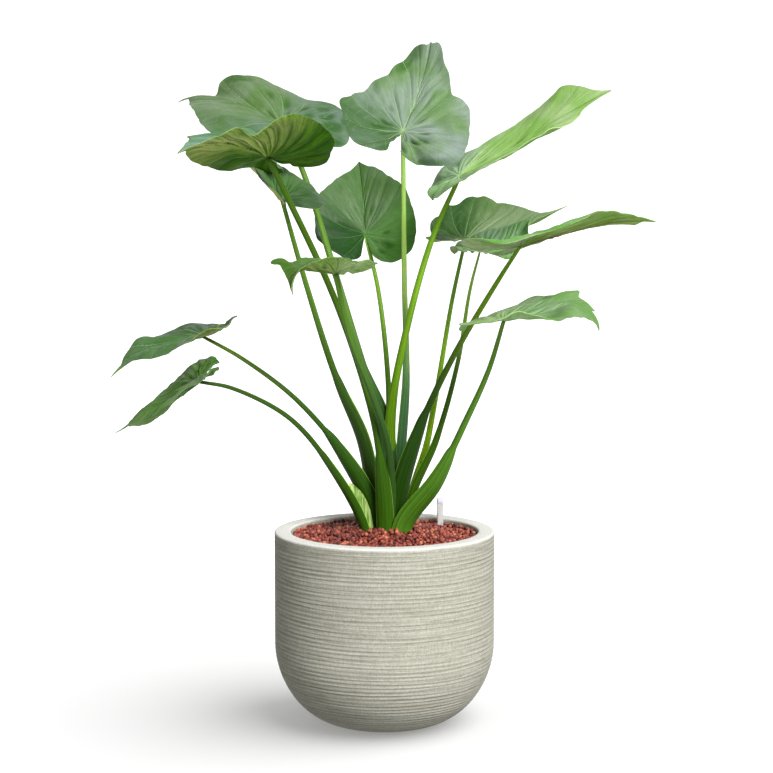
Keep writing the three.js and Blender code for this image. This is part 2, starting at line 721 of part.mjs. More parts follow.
function indicatorTube() {
  const { width, depth, corner, wall, bottom, top, floatCorner } = indicator;
  const shape = roundedBox(width, depth, corner);
  shape.holes.push(roundedBox(width - 2 * wall, depth - 2 * wall, floatCorner));
  return upright(shape, top - bottom);
}

function indicatorCap() {
  const { width, depth, corner, capHeight, capOverhang } = indicator;
  const shape = roundedBox(width + 2 * capOverhang, depth + 2 * capOverhang, corner + capOverhang);
  return upright(shape, capHeight);
}

function indicatorFloat() {
  const { floatWidth, floatDepth, floatCorner, floatLength } = indicator;
  return upright(roundedBox(floatWidth, floatDepth, floatCorner), floatLength);
}

// The room that the indicator takes in the granules
function indicatorClearance() {
  const { width, depth, corner, bottom, place: [x, y], turn } = indicator;
  const shape = roundedBox(width + 2 * gap, depth + 2 * gap, corner);
  const room = upright(shape, pot.height - bottom + gap);
  return toSolid(room.rotateZ(turn).translate(x, y, bottom - gap));
}

// Assembly

const materials = {
  pot: new THREE.MeshStandardMaterial({ color: 0xb4b4a6, roughness: 0.85, metalness: 0 }),
  granules: new THREE.MeshStandardMaterial({ color: 0x96503f, roughness: 1, metalness: 0 }),
  rootstock: new THREE.MeshStandardMaterial({ color: 0x7b5d3f, roughness: 0.9, metalness: 0 }),
  stalk: new THREE.MeshStandardMaterial({ color: 0x5d8c2c, roughness: 0.5, metalness: 0 }),
  scale: new THREE.MeshStandardMaterial({ color: 0xa3b56a, roughness: 0.6, metalness: 0 }),
  clear: new THREE.MeshStandardMaterial({ color: 0xdfe3c8, roughness: 0.2, metalness: 0 }),
  cap: new THREE.MeshStandardMaterial({ color: 0xc9c8d2, roughness: 0.4, metalness: 0 }),
  float: new THREE.MeshStandardMaterial({ color: 0xd8b82e, roughness: 0.4, metalness: 0 }),
};

const plant = new THREE.Group();

function place(name, geometry, material, position, turn) {
  const mesh = new THREE.Mesh(geometry, material);
  mesh.name = name;
  if (position) mesh.position.set(...position);
  if (turn) mesh.rotation.set(turn[0], turn[1], turn[2], 'ZYX');
  plant.add(mesh);
}

function bladeMaterial(colour) {
  return new THREE.MeshStandardMaterial({
    color: colour, roughness: 0.45, metalness: 0, side: THREE.DoubleSide,
  });
}

// Stalks are fitted from the front of the plant to the back: each is trimmed by its own blade, by
// the rootstock and by the sheaths that already stand in front of it.
const rootClearance = toSolid(rootstockGeometry(gap));
const frontToBack = [...leaves].sort((p, q) => p.stalk[0][1] - q.stalk[0][1]);
let taken = rootClearance;
for (const leaf of frontToBack) {
  const whole = toSolid(stalkGeometry(leaf, 0));
  const trimmed = largestPiece(whole.subtract(taken).subtract(bladeClearance(leaf)));
  taken = taken.add(toSolid(stalkGeometry(leaf, gap)));
  place(`stalk_${leaf.name}`, toGeometry(trimmed), materials.stalk);
}
const scaleLeafSolid = largestPiece(toSolid(scaleLeafGeometry(0)).subtract(taken));
taken = taken.add(toSolid(scaleLeafGeometry(gap))).add(indicatorClearance());

for (const leaf of leaves) {
  const turn = [radians(leaf.roll), -radians(leaf.pitch), radians(leaf.heading)];
  place(`blade_${leaf.name}`, bladeGeometry(leaf), bladeMaterial(leaf.colour), leaf.at, turn);
}

const bed = largestPiece(toSolid(granuleGeometry()).subtract(taken));
const gaugeTurn = [0, 0, indicator.turn];
const gaugeAt = (height) => [...indicator.place, height];
place('pot', toGeometry(toSolid(potGeometry())), materials.pot);
place('granules', toGeometry(bed), materials.granules);
place('rootstock', toGeometry(toSolid(rootstockGeometry(0))), materials.rootstock);
place('scale_leaf', toGeometry(scaleLeafSolid), materials.scale);
place('indicator_tube', indicatorTube(), materials.clear, gaugeAt(indicator.bottom), gaugeTurn);
place('indicator_float', indicatorFloat(), materials.float,
  gaugeAt(indicator.top - gap - indicator.floatLength), gaugeTurn);
place('indicator_cap', indicatorCap(), materials.cap, gaugeAt(indicator.top + gap), gaugeTurn);

export default plant;
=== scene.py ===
# Looks of a potted hooded dwarf elephant ear in a round ridged planter.
# Metres, +Z up, front towards -Y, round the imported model.

import math
from dataclasses import dataclass

import bpy
import numpy as np
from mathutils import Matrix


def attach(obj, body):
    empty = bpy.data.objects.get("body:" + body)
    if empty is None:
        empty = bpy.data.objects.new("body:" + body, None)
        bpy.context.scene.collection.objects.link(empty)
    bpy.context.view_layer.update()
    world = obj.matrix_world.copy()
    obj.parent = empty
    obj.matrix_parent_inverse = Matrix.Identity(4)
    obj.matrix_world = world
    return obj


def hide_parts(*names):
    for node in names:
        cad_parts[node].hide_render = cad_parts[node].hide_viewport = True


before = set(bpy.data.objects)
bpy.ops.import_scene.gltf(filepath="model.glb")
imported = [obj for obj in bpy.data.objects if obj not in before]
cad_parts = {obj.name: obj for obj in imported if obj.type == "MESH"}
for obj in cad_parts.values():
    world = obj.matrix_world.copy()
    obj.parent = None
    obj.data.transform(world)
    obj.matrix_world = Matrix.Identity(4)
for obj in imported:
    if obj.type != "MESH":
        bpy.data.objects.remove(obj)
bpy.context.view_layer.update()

# Camera, worked out from the planter's rim and foot in the photograph

CAMERA_PLACE = (0.0026, -2.2, 0.626)
CAMERA_DOWN = 5.14  # degrees
PICTURE = 773  # pixels, square
FOCAL_PIXELS = 1746
SENSOR = 36

# Planter

POT_RADIUS = 0.140
POT_HEIGHT = 0.245
RIM_INNER_RADIUS = 0.119
RIM_ROUND = 0.003
BASE_RADIUS = 0.058
FOOT_HEIGHT = 0.102
FOOT_ROUNDNESS = 1.9
FLOOR_THICKNESS = 0.020
FLOOR_RADIUS = 0.046
FOOT_STEPS, RIM_STEPS, FLOOR_STEPS = 60, 7, 16
RIDGE_RELIEF = 0.0007
RIDGE_COUNT = 54
RIDGE_POWER = 2.2
RIDGE_SHIFT = (5, 12, 0.10)  # a wobble's seed, number of waves and size
RIDGE_STRENGTH, RIDGE_LIMITS = 0.70, (0.15, 1.2)
STRENGTH_CHANGE, STRENGTH_RATE = (9, 14, 0.30), 3
ROWS_PER_RIDGE = 6
POT_TURNS = 276

# Clay granules

GRANULE_TOP = 0.235
MOUND_HEIGHT = 0.011
MOUND_RADIUS = 0.085
MOUND_CENTRE = (0.002, 0.024)
GRANULE_SPACING = 0.0058
ROW_SHARE = 0.866  # of the spacing
GRANULE_RADIUS = (0.0021, 0.0032)
GRANULE_SUNK, GRANULE_LEVELS = 0.0012, (-0.0018, 0.0016)
GRANULE_SCATTER = 0.0008
GRANULE_SIZES, GRANULE_TONES = (0.86, 1.06), (0.8, 1.15)
LUMP_WAVE, LUMP_NOISE = 0.06, 0.035
LOOSE_GRANULES, LOOSE_LEVEL = 760, 0.0032
WALL_GAP = 0.0005
WALL_GRANULE_GAP = 0.0027
WALL_RINGS = ((0.0, 128), (0.0030, 128), (0.0052, 112))  # level and number of granules
WALL_SCATTER, WALL_LEAN, WALL_SMALLER = 0.0010, 0.3, 0.0006
STALK_LEVEL, STALK_ROOM = 0.24, 1.12  # where the granules leave room for a stalk, and how much wider
GRANULE_SEED = 11
GRANULE_COLOURS = {
    "#954837": 0.24, "#7d372c": 0.22, "#65261e": 0.18, "#b3664f": 0.12, "#572b23": 0.08, "#813e2f": 0.1,
    "#4c1e1e": 0.06,
}
BED_RADIUS, BED_SUNK = 0.1184, 0.0045
BED_FLOOR_RADIUS, BED_FLOOR = FLOOR_RADIUS - 0.001, FLOOR_THICKNESS + 0.0003
BED_RINGS, BED_TURNS, BED_FLOOR_STEPS = 24, 96, 12

# Blades and stalks

BLADE_THICKNESS = 0.0009
BLADE_RINGS = 44
BLADE_COLUMNS = 181
BLADE_CROWDING = 1.5
STALK_SIDES = 28
STALK_STEPS = 110
SHEATH_THICKNESS = 0.0044
SHEATH_SHOULDER = 4
SHOULDER_SIZE, SHOULDER_POWER = 0.40, 24
CROWN_MIDDLE = (0.002, 0.060)
NEAR_BLADE = 0.03
STEM_TINT = (0.38, 0.60)  # heights between which the foot's tint gives way

OUTLINE_BODY = 0.6
SHOULDER_SHARE, SHOULDER_SPREAD = 0.28, 28
DRIP_SHARE, DRIP_SPREAD = 0.12, 4.5
LOBE_FROM, LOBE_SPAN, LOBE_ROUNDNESS = 95, 80, 2.4
NOTCH_EDGE = 166
TIP_BEND_FROM = 0.55
HALF_SPAN = 0.55
RIPPLE_RATE, RIPPLE_SHIFT, RIPPLE_START = 8, (-37, 23), 20
WAVE_SPAN, WAVE_LEAST = 25, 0.1
SHORT_LOBE_FROM, SHORT_LOBE_TO = 60, 130
LIFT_POWER = 3
TAIL_SPREAD, TAIL_POWER = 0.9, 14
NICK_SIZE, NICK_RATES = 0.008, (23, 9)
QUILT_SHARE, QUILT_SPAN, QUILT_FALL = 0.085, 0.030, 0.4
DENT_WIDTH, DENT_LENGTH = 0.20, 0.10
DENT_RANGES = ((0.16, 0.44), (0.1, 1.0), (0.35, 0.65))  # of place along, depth and place across
CRUMPLE_WAVES, CRUMPLE_POWER = 10, 1.4
# Depths at which a crease or a pleat is painted fully dark, as shade
CREASE_DARK = 0.0035
PLEAT_DARK = 0.0022
VEIN_SUNK = 0.0005
CROSS_SPACING, CROSS_SWEEP, CROSS_RELIEF = 0.014, 0.9, 0.00025
RIB_WIDTH, RIB_HEIGHT = 0.0020, 0.0013
LOBE_TINT, SIDE_TINT = (30, 95), (-40, 40)  # angles between which the tints change; these tints also paint shade and light shining through


@dataclass
class Leaf:
    """One leaf: its blade's place and shape, its stalk and its colours. Lengths are given in millimetres
    and kept in metres, angles are in degrees, and the blade's left side comes first in a pair of values.
    "turn" is the heading, pitch and roll. "fold" is the angle of either half at the midrib, and "curl" how
    far it turns on to its margin. "bends" are along the middle, of the back lobes and of the tip, and the
    twist. "wave" has the heights of the margin's waves, as shares of the length, and "waves" their rate and
    starts. "stalk" has points of its middle line, "thick" its radius at either end, and "sheath" the
    sheath's half width, its wrap and the height of its top. "tail" is the drip tip's thin end, as a share
    of the length, and "relief" has the heights of pleats, dents and crumples; the dents and the pleats'
    valleys are also painted darker, as shade. "bays" are (angle, spread, size) of where the margin reaches
    out or in, "lifts" are (angle, spread, height) of where it bends up or down, and "creases" are (angle,
    share, spread, length, depth) of single deep creases, which are painted darker too, as shade. Top and
    underside each have a tint towards the tip and one for both back lobes or each of them. Besides the
    leaf's own colour, these tints paint light and shade: some back lobes are darker where shade falls, and
    some undersides paler where light shines through them."""

    name: str
    at: tuple
    turn: tuple
    length: float
    width: float
    fold: tuple
    curl: tuple
    bends: tuple
    wave: tuple
    waves: tuple
    stalk: list
    thick: tuple
    sheath: tuple
    tail: float
    relief: tuple
    top: tuple
    vein: str
    foot: str
    stem: str
    under: tuple = ("#7f9a5c", "#6f8a4c")
    ripple: float = 0.015
    lobes: float = 1
    bays: tuple = ()
    lifts: tuple = ()
    creases: tuple = ()

    def __post_init__(self):
        for key in ("at", "length", "stalk", "thick", "sheath", "relief"):
            setattr(self, key, np.array(getattr(self, key)) / 1000)
        self.lifts = [(*where, height / 1000) for *where, height in self.lifts]
        self.creases = [(*where, depth / 1000) for *where, depth in self.creases]


# Some tints paint light and shade: e's left lobe is darkened as shade, and c's underside is pale towards its
# tip where light shines through and dark on its lobes as shade
LEAVES = [
    Leaf(
        "a", at=(23.5, 30, 750), turn=(66, 42, 5), length=150, width=0.9, fold=(18, 0), curl=(12, -30),
        bends=(-24, -18, 0, 0), wave=(0.015, 0.015), waves=(3, 50, 120), ripple=0.035,
        stalk=[(14, 46, 196), (16, 46, 269), (21.5, 44, 344), (28, 41, 445), (25.5, 37, 560)],
        thick=(6.4, 2.7), sheath=(8.8, 3, 460), tail=0, relief=(0.3, 4, 2.4),
        bays=[
            (10, 7, 0.17), (-6, 5, 0.12), (0, 3, -0.06), (31, 7, -0.05), (-33, 9, -0.09), (59, 9, -0.13),
            (84, 8, 0.13), (110, 15, -0.12), (152, 15, -0.12), (-80, 10, 0.05), (-137, 15, -0.29),
            (-152, 16, -0.17),
        ],
        lifts=[(13, 7, -14), (-136, 20, -18)],
        creases=[
            (-112, 0.42, 8, 0.13, 3.5), (100, 0.4, 7, 0.16, 3), (-64, 0.34, 6, 0.14, 2.2),
            (124, 0.34, 7, 0.12, 2.6), (-34, 0.24, 6, 0.09, 2.5), (-150, 0.35, 6, 0.12, 4),
            (-128, 0.45, 7, 0.14, 4), (-90, 0.33, 6, 0.12, 3), (80, 0.3, 6, 0.12, 3),
            (150, 0.35, 8, 0.12, 3), (60, 0.5, 5, 0.2, 1.8), (30, 0.5, 3.5, 0.25, 1.8),
            (-20, 0.5, 3, 0.3, 1.8), (15, 0.93, 11, 0.12, 3.5), (-128, 0.97, 30, 0.1, 3.2),
            (-160, 0.8, 10, 0.14, 2.5),
        ],
        top=("#5e7356", "#395432", "#60725c"), vein="#93b27c", foot="#467344", stem="#86ab4f",
    ),
    Leaf(
        "b", at=(-136, 115, 763), turn=(152, 29, -24), length=178, width=0.92, fold=(26, 8),
        curl=(-45, -20), bends=(36, 0, 6, -5), wave=(0.012, 0.055), waves=(4.3, -145, -25),
        stalk=[(3, 26, 196), (3, 27, 280), (0, 34, 369), (-25, 43, 443), (-68, 60, 584), (-106, 95, 700)],
        thick=(7, 3), sheath=(14, 6, 450), tail=0.11, relief=(0.3, 3.6, 2.6),
        bays=[(0, 4, -0.05), (-9, 6, -0.08), (-20, 7, 0.06)],
        lifts=[(0, 4, 8), (-9, 5, -7), (-28, 14, 4)],
        creases=[
            (-98, 0.75, 6, 0.14, 4), (-112, 0.68, 6, 0.12, 4.5), (-128, 0.74, 7, 0.14, 5),
            (-144, 0.62, 8, 0.16, 5), (-120, 0.93, 5, 0.08, 3.5), (-104, 0.40, 8, 0.12, 4),
            (-84, 0.55, 6, 0.14, 4), (-60, 0.50, 6, 0.16, 3.2), (-24, 0.93, 10, 0.1, 3),
            (-40, 0.60, 5, 0.16, 2.5), (-150, 0.90, 12, 0.08, 4),
        ],
        top=("#4d643c", "#3f593b", "#435b40"), vein="#86a86c", foot="#2c4f1c", stem="#507427",
    ),
    Leaf(
        "c", at=(-140, -85, 713), turn=(235, 20, -14), length=155, width=0.88, fold=(22, 4),
        curl=(29, -52), bends=(40, -25, 6, 0), wave=(0.012, 0.045), waves=(3.5, -142, 43), ripple=0.04,
        stalk=[(2, 6, 196), (1, 4, 255), (-3, -4, 315), (-14, -15, 390), (-58.5, -40, 533)],
        thick=(6.2, 3.5), sheath=(11.6, 5, 345), tail=0.04, relief=(2, 2.2, 2.6),
        bays=[(0, 4, -0.05), (-11, 6, -0.09), (-45, 16, 0.06)],
        lifts=[(38, 7, -9.5), (28, 5, 5), (150, 20, -3)],
        creases=[(-110, 0.4, 8, 0.2, 2.2), (78, 0.4, 7, 0.2, 2.2)],
        top=("#517256", "#406535"), under=("#8ea44e", "#345c03"),
        vein="#33480c", foot="#2d5106", stem="#375808",
    ),
    Leaf(
        "d", at=(-130, 25, 664), turn=(116, 30, 0), length=100, width=0.98, fold=(38, 32), curl=(6, -57),
        bends=(-17, -15, 64, -3), wave=(0.011, 0.011), waves=(2.7, 104, 76),
        stalk=[(-13, 36, 196), (-14, 36, 271), (-26, 34, 353), (-63, 32, 440), (-98, 29, 550)],
        thick=(7.2, 2.6), sheath=(11.8, 6, 441), tail=0.02, relief=(0.4, 2, 2),
        lifts=[(-38, 22, -8)],
        creases=[(-96, 0.45, 8, 0.16, 2.2)],
        top=("#3b5a2a", "#2b4623"), under=("#a3a85c", "#8a9a4c"),
        vein="#5c8a50", foot="#2a480f", stem="#44681a",
    ),
    Leaf(
        "e", at=(-26, 120, 621), turn=(97, 65, 0), length=123, width=0.96, fold=(24, 20), curl=(-11, 16),
        bends=(20, -20, 10, -14), wave=(0.016, 0.01), waves=(4.4, -146, 89),
        stalk=[(6, 47, 196), (7, 49, 276), (6, 60, 345), (4.5, 76, 432), (-8, 99, 545)],
        thick=(5.2, 2.4), sheath=(6, 3, 350), tail=0.02, relief=(0.3, 1.6, 1.3),
        bays=[(145, 18, -0.05), (-15, 8, 0.03), (-120, 10, 0.07)],
        creases=[(-127, 0.52, 8, 0.15, 4.5), (-146, 0.62, 7, 0.12, 3), (84, 0.5, 6, 0.2, 1.6)],
        top=("#435e33", "#0e3603", "#436c2c"), vein="#588244", foot="#46740f", stem="#7aa839",
    ),
    Leaf(
        "f", at=(-58, -120, 574), turn=(224, 9, 7), length=87, width=1.08, fold=(32, 2), curl=(-48, 40),
        bends=(11, -10, 88, 0), wave=(0.014, 0.037), waves=(4.5, 35, -52), ripple=0,
        stalk=[(8, 14, 196), (8, 14, 268), (5, -14, 352), (-14, -38, 417), (-42, -72, 495)],
        thick=(5, 3.2), sheath=(7, 3, 340), tail=0.06, relief=(0.6, 1.4, 2),
        bays=[(-34, 7, 0.2)],
        lifts=[(-34, 7, -4), (-152, 18, 8)],
        top=("#3d5b1c", "#486631"), under=("#7d9c49", "#86a65e"),
        vein="#5c7434", foot="#2c4c1a", stem="#537e21",
    ),
    Leaf(
        "g", at=(-228, -10, 492), turn=(195, -7, -4), length=125, width=0.92, fold=(13, 6), curl=(-8, -7),
        bends=(28, -110, 10, -12), wave=(0.027, 0.04), waves=(4.5, 60, 26),
        stalk=[(-14, 20, 196), (-15, 20, 267), (-52, 14, 339), (-113, 6, 412), (-180, -2, 464)],
        thick=(4.8, 2.1), sheath=(13, 5, 372), tail=0.10, relief=(0.8, 2.6, 2.4),
        bays=[(-23, 6, -0.06), (-10, 6, 0.03), (-136, 22, -0.32), (0, 5, -0.08)],
        lifts=[(0, 4, 3), (-23, 5, 3)],
        creases=[(-96, 0.5, 9, 0.2, 2.2)],
        top=("#3a592d", "#344c2f"), under=("#7f9a4e", "#8a9a50"),
        vein="#86a874", foot="#254904", stem="#6f8f28",
    ),
    Leaf(
        "h", at=(-225, -90, 442), turn=(170, -37, -9), length=122, width=0.88, fold=(9, 27),
        curl=(-18, -27), bends=(-13, -115, 0, 0), wave=(0.05, 0.037), waves=(3.3, 160, -150),
        stalk=[(-20, 6, 196), (-27, 5, 251), (-75, -21, 340), (-120, -42, 394), (-186, -69, 432)],
        thick=(4.5, 2.1), sheath=(7.2, 4, 350), tail=0.1, relief=(1.4, 2.8, 2.6),
        bays=[(-138, 24, -0.42), (145, 25, -0.42), (0, 5, -0.08), (55, 14, 0.14), (95, 12, -0.1)],
        lifts=[(-62, 12, -6), (-138, 24, -10), (145, 25, -10)],
        creases=[(-92, 0.5, 9, 0.2, 2.5), (-70, 0.55, 7, 0.15, 2)],
        top=("#48642e", "#4b6337"), under=("#5f8440", "#4a6e34"),
        vein="#7ba069", foot="#274606", stem="#465b1c",
    ),
    Leaf(
        "i", at=(94, -20, 693), turn=(-20, 22, 25), length=214, width=0.61, fold=(20, 4), curl=(-40, 20),
        bends=(-20, 95, 20, 17), wave=(0.013, 0.034), waves=(3.5, 90, -74), ripple=0.02, lobes=0.56,
        stalk=[(9, 38, 196), (10, 38, 277), (8, 26, 386), (25, 14, 486), (59, -3, 612)],
        thick=(7.6, 2.6), sheath=(8, 4, 430), tail=0.02, relief=(0.3, 2.4, 1.8),
        bays=[
            (-140, 18, -0.15), (7, 4, 0.03), (22, 5, -0.05), (-5, 4, -0.05), (-18, 7, -0.04), (118, 14, 0.12),
        ],
        lifts=[(12, 8, 13), (-14, 5, -4), (-22, 5, 2), (-138, 18, -12)],
        creases=[(96, 0.42, 7, 0.16, 2.6), (70, 0.3, 6, 0.14, 2.2)],
        top=("#8dad67", "#6c8960", "#739064"), under=("#8fb45c", "#7fa44c"),
        vein="#a0c478", foot="#557f07", stem="#68941f",
    ),
    Leaf(
        "j", at=(109, 160, 613), turn=(-2, 6, 3), length=131, width=1.02, fold=(22, 2), curl=(34, 0),
        bends=(-22, -27, 0, 3), wave=(0.012, 0.01), waves=(3.3, 56, 124),
        stalk=[(28, 44, 196), (32, 44, 275), (55, 61, 350), (69, 80, 418), (89, 112, 530)],
        thick=(5.4, 2.2), sheath=(7, 4, 372), tail=0.1, relief=(0.4, 2.2, 2.6),
        bays=[(98, 9, -0.1), (80, 8, 0.05), (50, 10, -0.05), (124, 14, -0.14), (150, 12, -0.08)],
        creases=[(-60, 0.4, 8, 0.2, 2)],
        top=("#5b7244", "#244512", "#274917"), under=("#6a9840", "#7a9a4c"),
        vein="#7c9c64", foot="#85b60f", stem="#78ac3c",
    ),
    Leaf(
        "k", at=(163, -102, 606), turn=(2, 18, -17), length=173, width=0.72, fold=(17, 4), curl=(-8, -23),
        bends=(9, -73, 16, 0), wave=(0.021, 0.018), waves=(4.2, -130, -54), ripple=0.02,
        stalk=[(17, 22, 196), (15, 22, 267), (40, -2, 364), (83.5, -31, 464), (140, -75, 567)],
        thick=(6.4, 2), sheath=(13, 6, 398), tail=0.01, relief=(0.7, 1.4, 2),
        bays=[(0, 5, -0.05)],
        lifts=[(9, 6, -5)],
        top=("#5a8c3c", "#5a8c3c"), under=("#7d9d49", "#8ca26b"),
        vein="#6d6c3a", foot="#1e3f06", stem="#6f9a1c",
    ),
    Leaf(
        "l", at=(122, 25, 601), turn=(30, 11, 4), length=88, width=0.98, fold=(19, 13), curl=(-31, -30),
        bends=(-22, -23, -8, 12), wave=(0.023, 0.023), waves=(3.2, -113, -67),
        stalk=[(28, 34, 196), (33, 34, 278), (68, 33, 361), (94.5, 31, 459), (109, 27, 549)],
        thick=(5.4, 1.3), sheath=(8, 4, 372), tail=0.03, relief=(1, 4.4, 3.4),
        bays=[(125, 22, -0.25)],
        creases=[(-70, 0.5, 10, 0.2, 4), (-112, 0.5, 9, 0.18, 4), (40, 0.5, 9, 0.2, 3)],
        top=("#55744c", "#627f51"), under=("#7a915d", "#7a915d"),
        vein="#93b28a", foot="#355b05", stem="#8ab444",
    ),
    Leaf(
        "m", at=(143, -115, 518), turn=(0, 10, 0), length=130, width=0.87, fold=(20, 5), curl=(-31, -6),
        bends=(-6, 9, 88, 27), wave=(0.016, 0.031), waves=(3.7, 112, 166), ripple=0.03,
        stalk=[(17, 4, 196), (24, 1, 251), (64, -21, 310), (102, -53, 393), (127, -79, 455)],
        thick=(6.4, 2.4), sheath=(13.5, 6, 355), tail=0.01, relief=(0.3, 2.6, 2.6),
        bays=[(25, 3.5, 0.03), (18, 3, -0.05), (11, 3.5, 0.06), (5, 3, -0.06)],
        lifts=[(24, 4, 5), (12, 4, -5), (-80, 10, 5)],
        creases=[(-50, 0.5, 10, 0.2, 1.8)],
        top=("#62804f", "#819c65"), under=("#729a50", "#729a50"),
        vein="#88b074", foot="#446f1a", stem="#5c7f2a",
    ),
]

# Main side veins

VEINS = [
    # Where each leaves the midrib, as a share of the way to the tip, and its angle from the tip's direction
    # at the stalk and at the margin, in degrees
    (0, 0, 0), (0.46, 0, 8), (0.20, 0, 18), (0, 34, 29), (0, 62, 47), (0, 92, 72), (0, 122, 104),
    (0, 148, 140), (0, NOTCH_EDGE + 4, NOTCH_EDGE + 4),
]
VEIN_PLACES = np.array([0, 1, 2, 3, 4, 5, 6, 7, 7.5])  # the notch's edge is no vein
VEIN_POWER, BRANCH_POWER = 0.8, 0.75

# Helpers


def linear(colour):
    """A colour as written on a screen, "#rrggbb", as linear light."""
    parts = [int(colour[i : i + 2], 16) / 255 for i in (1, 3, 5)]
    return tuple(c / 12.92 if c <= 0.04045 else ((c + 0.055) / 1.055) ** 2.4 for c in parts)


def smoothstep(x, low, high):
    t = np.clip((x - low) / (high - low), 0, 1)
    return t * t * (3 - 2 * t)


def unit(vector):
    return vector / np.linalg.norm(vector)


def turn_about(axis, angle):
    """The matrix of a turn about x, y or z, which are 0, 1 and 2."""
    u, v = (axis + 1) % 3, (axis + 2) % 3
    made = np.eye(3)
    made[u, u] = made[v, v] = math.cos(angle)
    made[u, v], made[v, u] = -math.sin(angle), math.sin(angle)
    return made


def circle(sides):
    return np.linspace(0, 2 * np.pi, sides, endpoint=False)


def ring_points(radius, turns, height):
    return np.stack(np.broadcast_arrays(radius * np.cos(turns), radius * np.sin(turns), height), axis=-1)


def linked(name, data):
    made = bpy.data.objects.new(name, data)
    bpy.context.scene.collection.objects.link(made)
    return made


def new_object(name, points, faces):
    mesh = bpy.data.meshes.new(name)
    mesh.from_pydata([tuple(p) for p in points], [], [tuple(f) for f in faces])
    mesh.update()
    mesh.polygons.foreach_set("use_smooth", [True] * len(mesh.polygons))
    return linked(name, mesh)


def hand_over(made, slot, node, *materials):
    """Gives the object its materials and its body, and hides the node that it stands for, if any; the slot is
    not used.
    """
    for material in materials:
        made.data.materials.append(MATERIALS[material])
    if node:
        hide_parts(node)
    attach(made, "root")


def set_numbers(made, name, values):
    """A number or a vector for each point."""
    values = np.asarray(values, np.float32)
    kind, key = ("FLOAT", "value") if values.ndim == 1 else ("FLOAT_VECTOR", "vector")
    made.data.attributes.new(name, kind, "POINT").data.foreach_set(key, values.ravel())


def set_colours(made, name, colours):
    colours = np.concatenate([colours, np.ones((len(colours), 1))], axis=1).astype(np.float32)
    made.data.attributes.new(name, "FLOAT_COLOR", "POINT").data.foreach_set("color", colours.ravel())


def tube_faces(rows, sides):
    """Quads between rings of points stored row by row, and a face across either end."""
    faces = []
    for start in range(0, (rows - 1) * sides, sides):
        for c in range(sides):
            a, b = start + c, start + (c + 1) % sides
            faces.append((a, b, b + sides, a + sides))
    faces.append(tuple(reversed(range(sides))))
    faces.append(tuple(range((rows - 1) * sides, rows * sides)))
    return faces


class Material:
    """A node material under construction."""

    def __init__(self, name):
        self.made = bpy.data.materials.new(name)
        self.made.use_nodes = True
        self.tree = self.made.node_tree
        self.shader = self.tree.nodes["Principled BSDF"]

    def node(self, kind, inputs=(), **settings):
        made = self.tree.nodes.new(kind)
        for key, value in settings.items():
            setattr(made, key, value)
        for socket, value in zip(made.inputs, inputs):
            self.put(socket, value)
        return made

    def put(self, socket, value):
        if isinstance(value, bpy.types.NodeSocket):
            self.tree.links.new(value, socket)
        else:
            socket.default_value = value

    def math(self, operation, *values):
        return self.node("ShaderNodeMath", values, operation=operation).outputs[0]

    def times(self, *values):
        return self.math("MULTIPLY", *values)

    def attribute(self, name, output="Fac"):
        return self.node("ShaderNodeAttribute", attribute_name=name).outputs[output]

    def mix(self, factor, first, second, blend="MIX"):
        """Two colours mixed, either of them an output or a tuple of red, green and blue."""
        made = self.node("ShaderNodeMix", data_type="RGBA", blend_type=blend)
        self.put(made.inputs["Factor"], factor)
        for socket, value in ((made.inputs[6], first), (made.inputs[7], second)):
            self.put(socket, (*value, 1) if isinstance(value, tuple) else value)
        return made.outputs[2]

    def vary(self, amount, colour, tone, low, high):
        """The colour times one that runs from low to high with the tone."""
        return self.mix(amount, colour, self.mix(tone, low, high), "MULTIPLY")

    def fade(self, value, low, high, out_low=0.0, out_high=1.0):
        inputs = (value, low, high, out_low, out_high)
        return self.node("ShaderNodeMapRange", inputs, interpolation_type="SMOOTHSTEP").outputs[0]

    def noise(self, scale, detail=3.0, vector=None, roughness=0.5):
        made = self.node("ShaderNodeTexNoise")
        made.inputs["Scale"].default_value = scale
        made.inputs["Detail"].default_value = detail
        made.inputs["Roughness"].default_value = roughness
        self.put(made.inputs["Vector"], vector or self.place())
        return made.outputs["Fac"]

    def place(self):
        return self.node("ShaderNodeTexCoord").outputs["Object"]

    def parts(self, vector):
        return self.node("ShaderNodeSeparateXYZ", (vector,)).outputs

    def stretched(self, vector, scale):
        return self.node("ShaderNodeVectorMath", (vector, scale), operation="MULTIPLY").outputs[0]

    def bump(self, height, distance, strength=1.0, normal=None):
        made = self.node("ShaderNodeBump")
        made.inputs["Distance"].default_value = distance
        made.inputs["Strength"].default_value = strength
        self.put(made.inputs["Height"], height)
        if normal:
            self.put(made.inputs["Normal"], normal)
        return made.outputs[0]

    def finish(self, **inputs):
        for name, value in inputs.items():
            self.put(self.shader.inputs[name.replace("_", " ")], value)
        return self.made


# Blade shape


def arc(start, turn, distance, span):
    """How far forward and up a path leads that starts at an angle and turns evenly, and its last angle."""
    rate = (turn if abs(turn) > 1e-4 else 1e-4) / span
    end = start + rate * distance
    return (np.sin(end) - np.sin(start)) / rate, (np.cos(start) - np.cos(end)) / rate, end


def outline(away, lobes):
    tips = SHOULDER_SHARE * np.exp(-away / SHOULDER_SPREAD) + DRIP_SHARE * np.exp(-away / DRIP_SPREAD)
    turn = np.clip((away - LOBE_FROM) / LOBE_SPAN, 0, 1)
    back = smoothstep(away, SHORT_LOBE_FROM, SHORT_LOBE_TO)
    return (OUTLINE_BODY + tips) * np.sqrt(1 - turn**LOBE_ROUNDNESS) * (1 + (lobes - 1) * back)


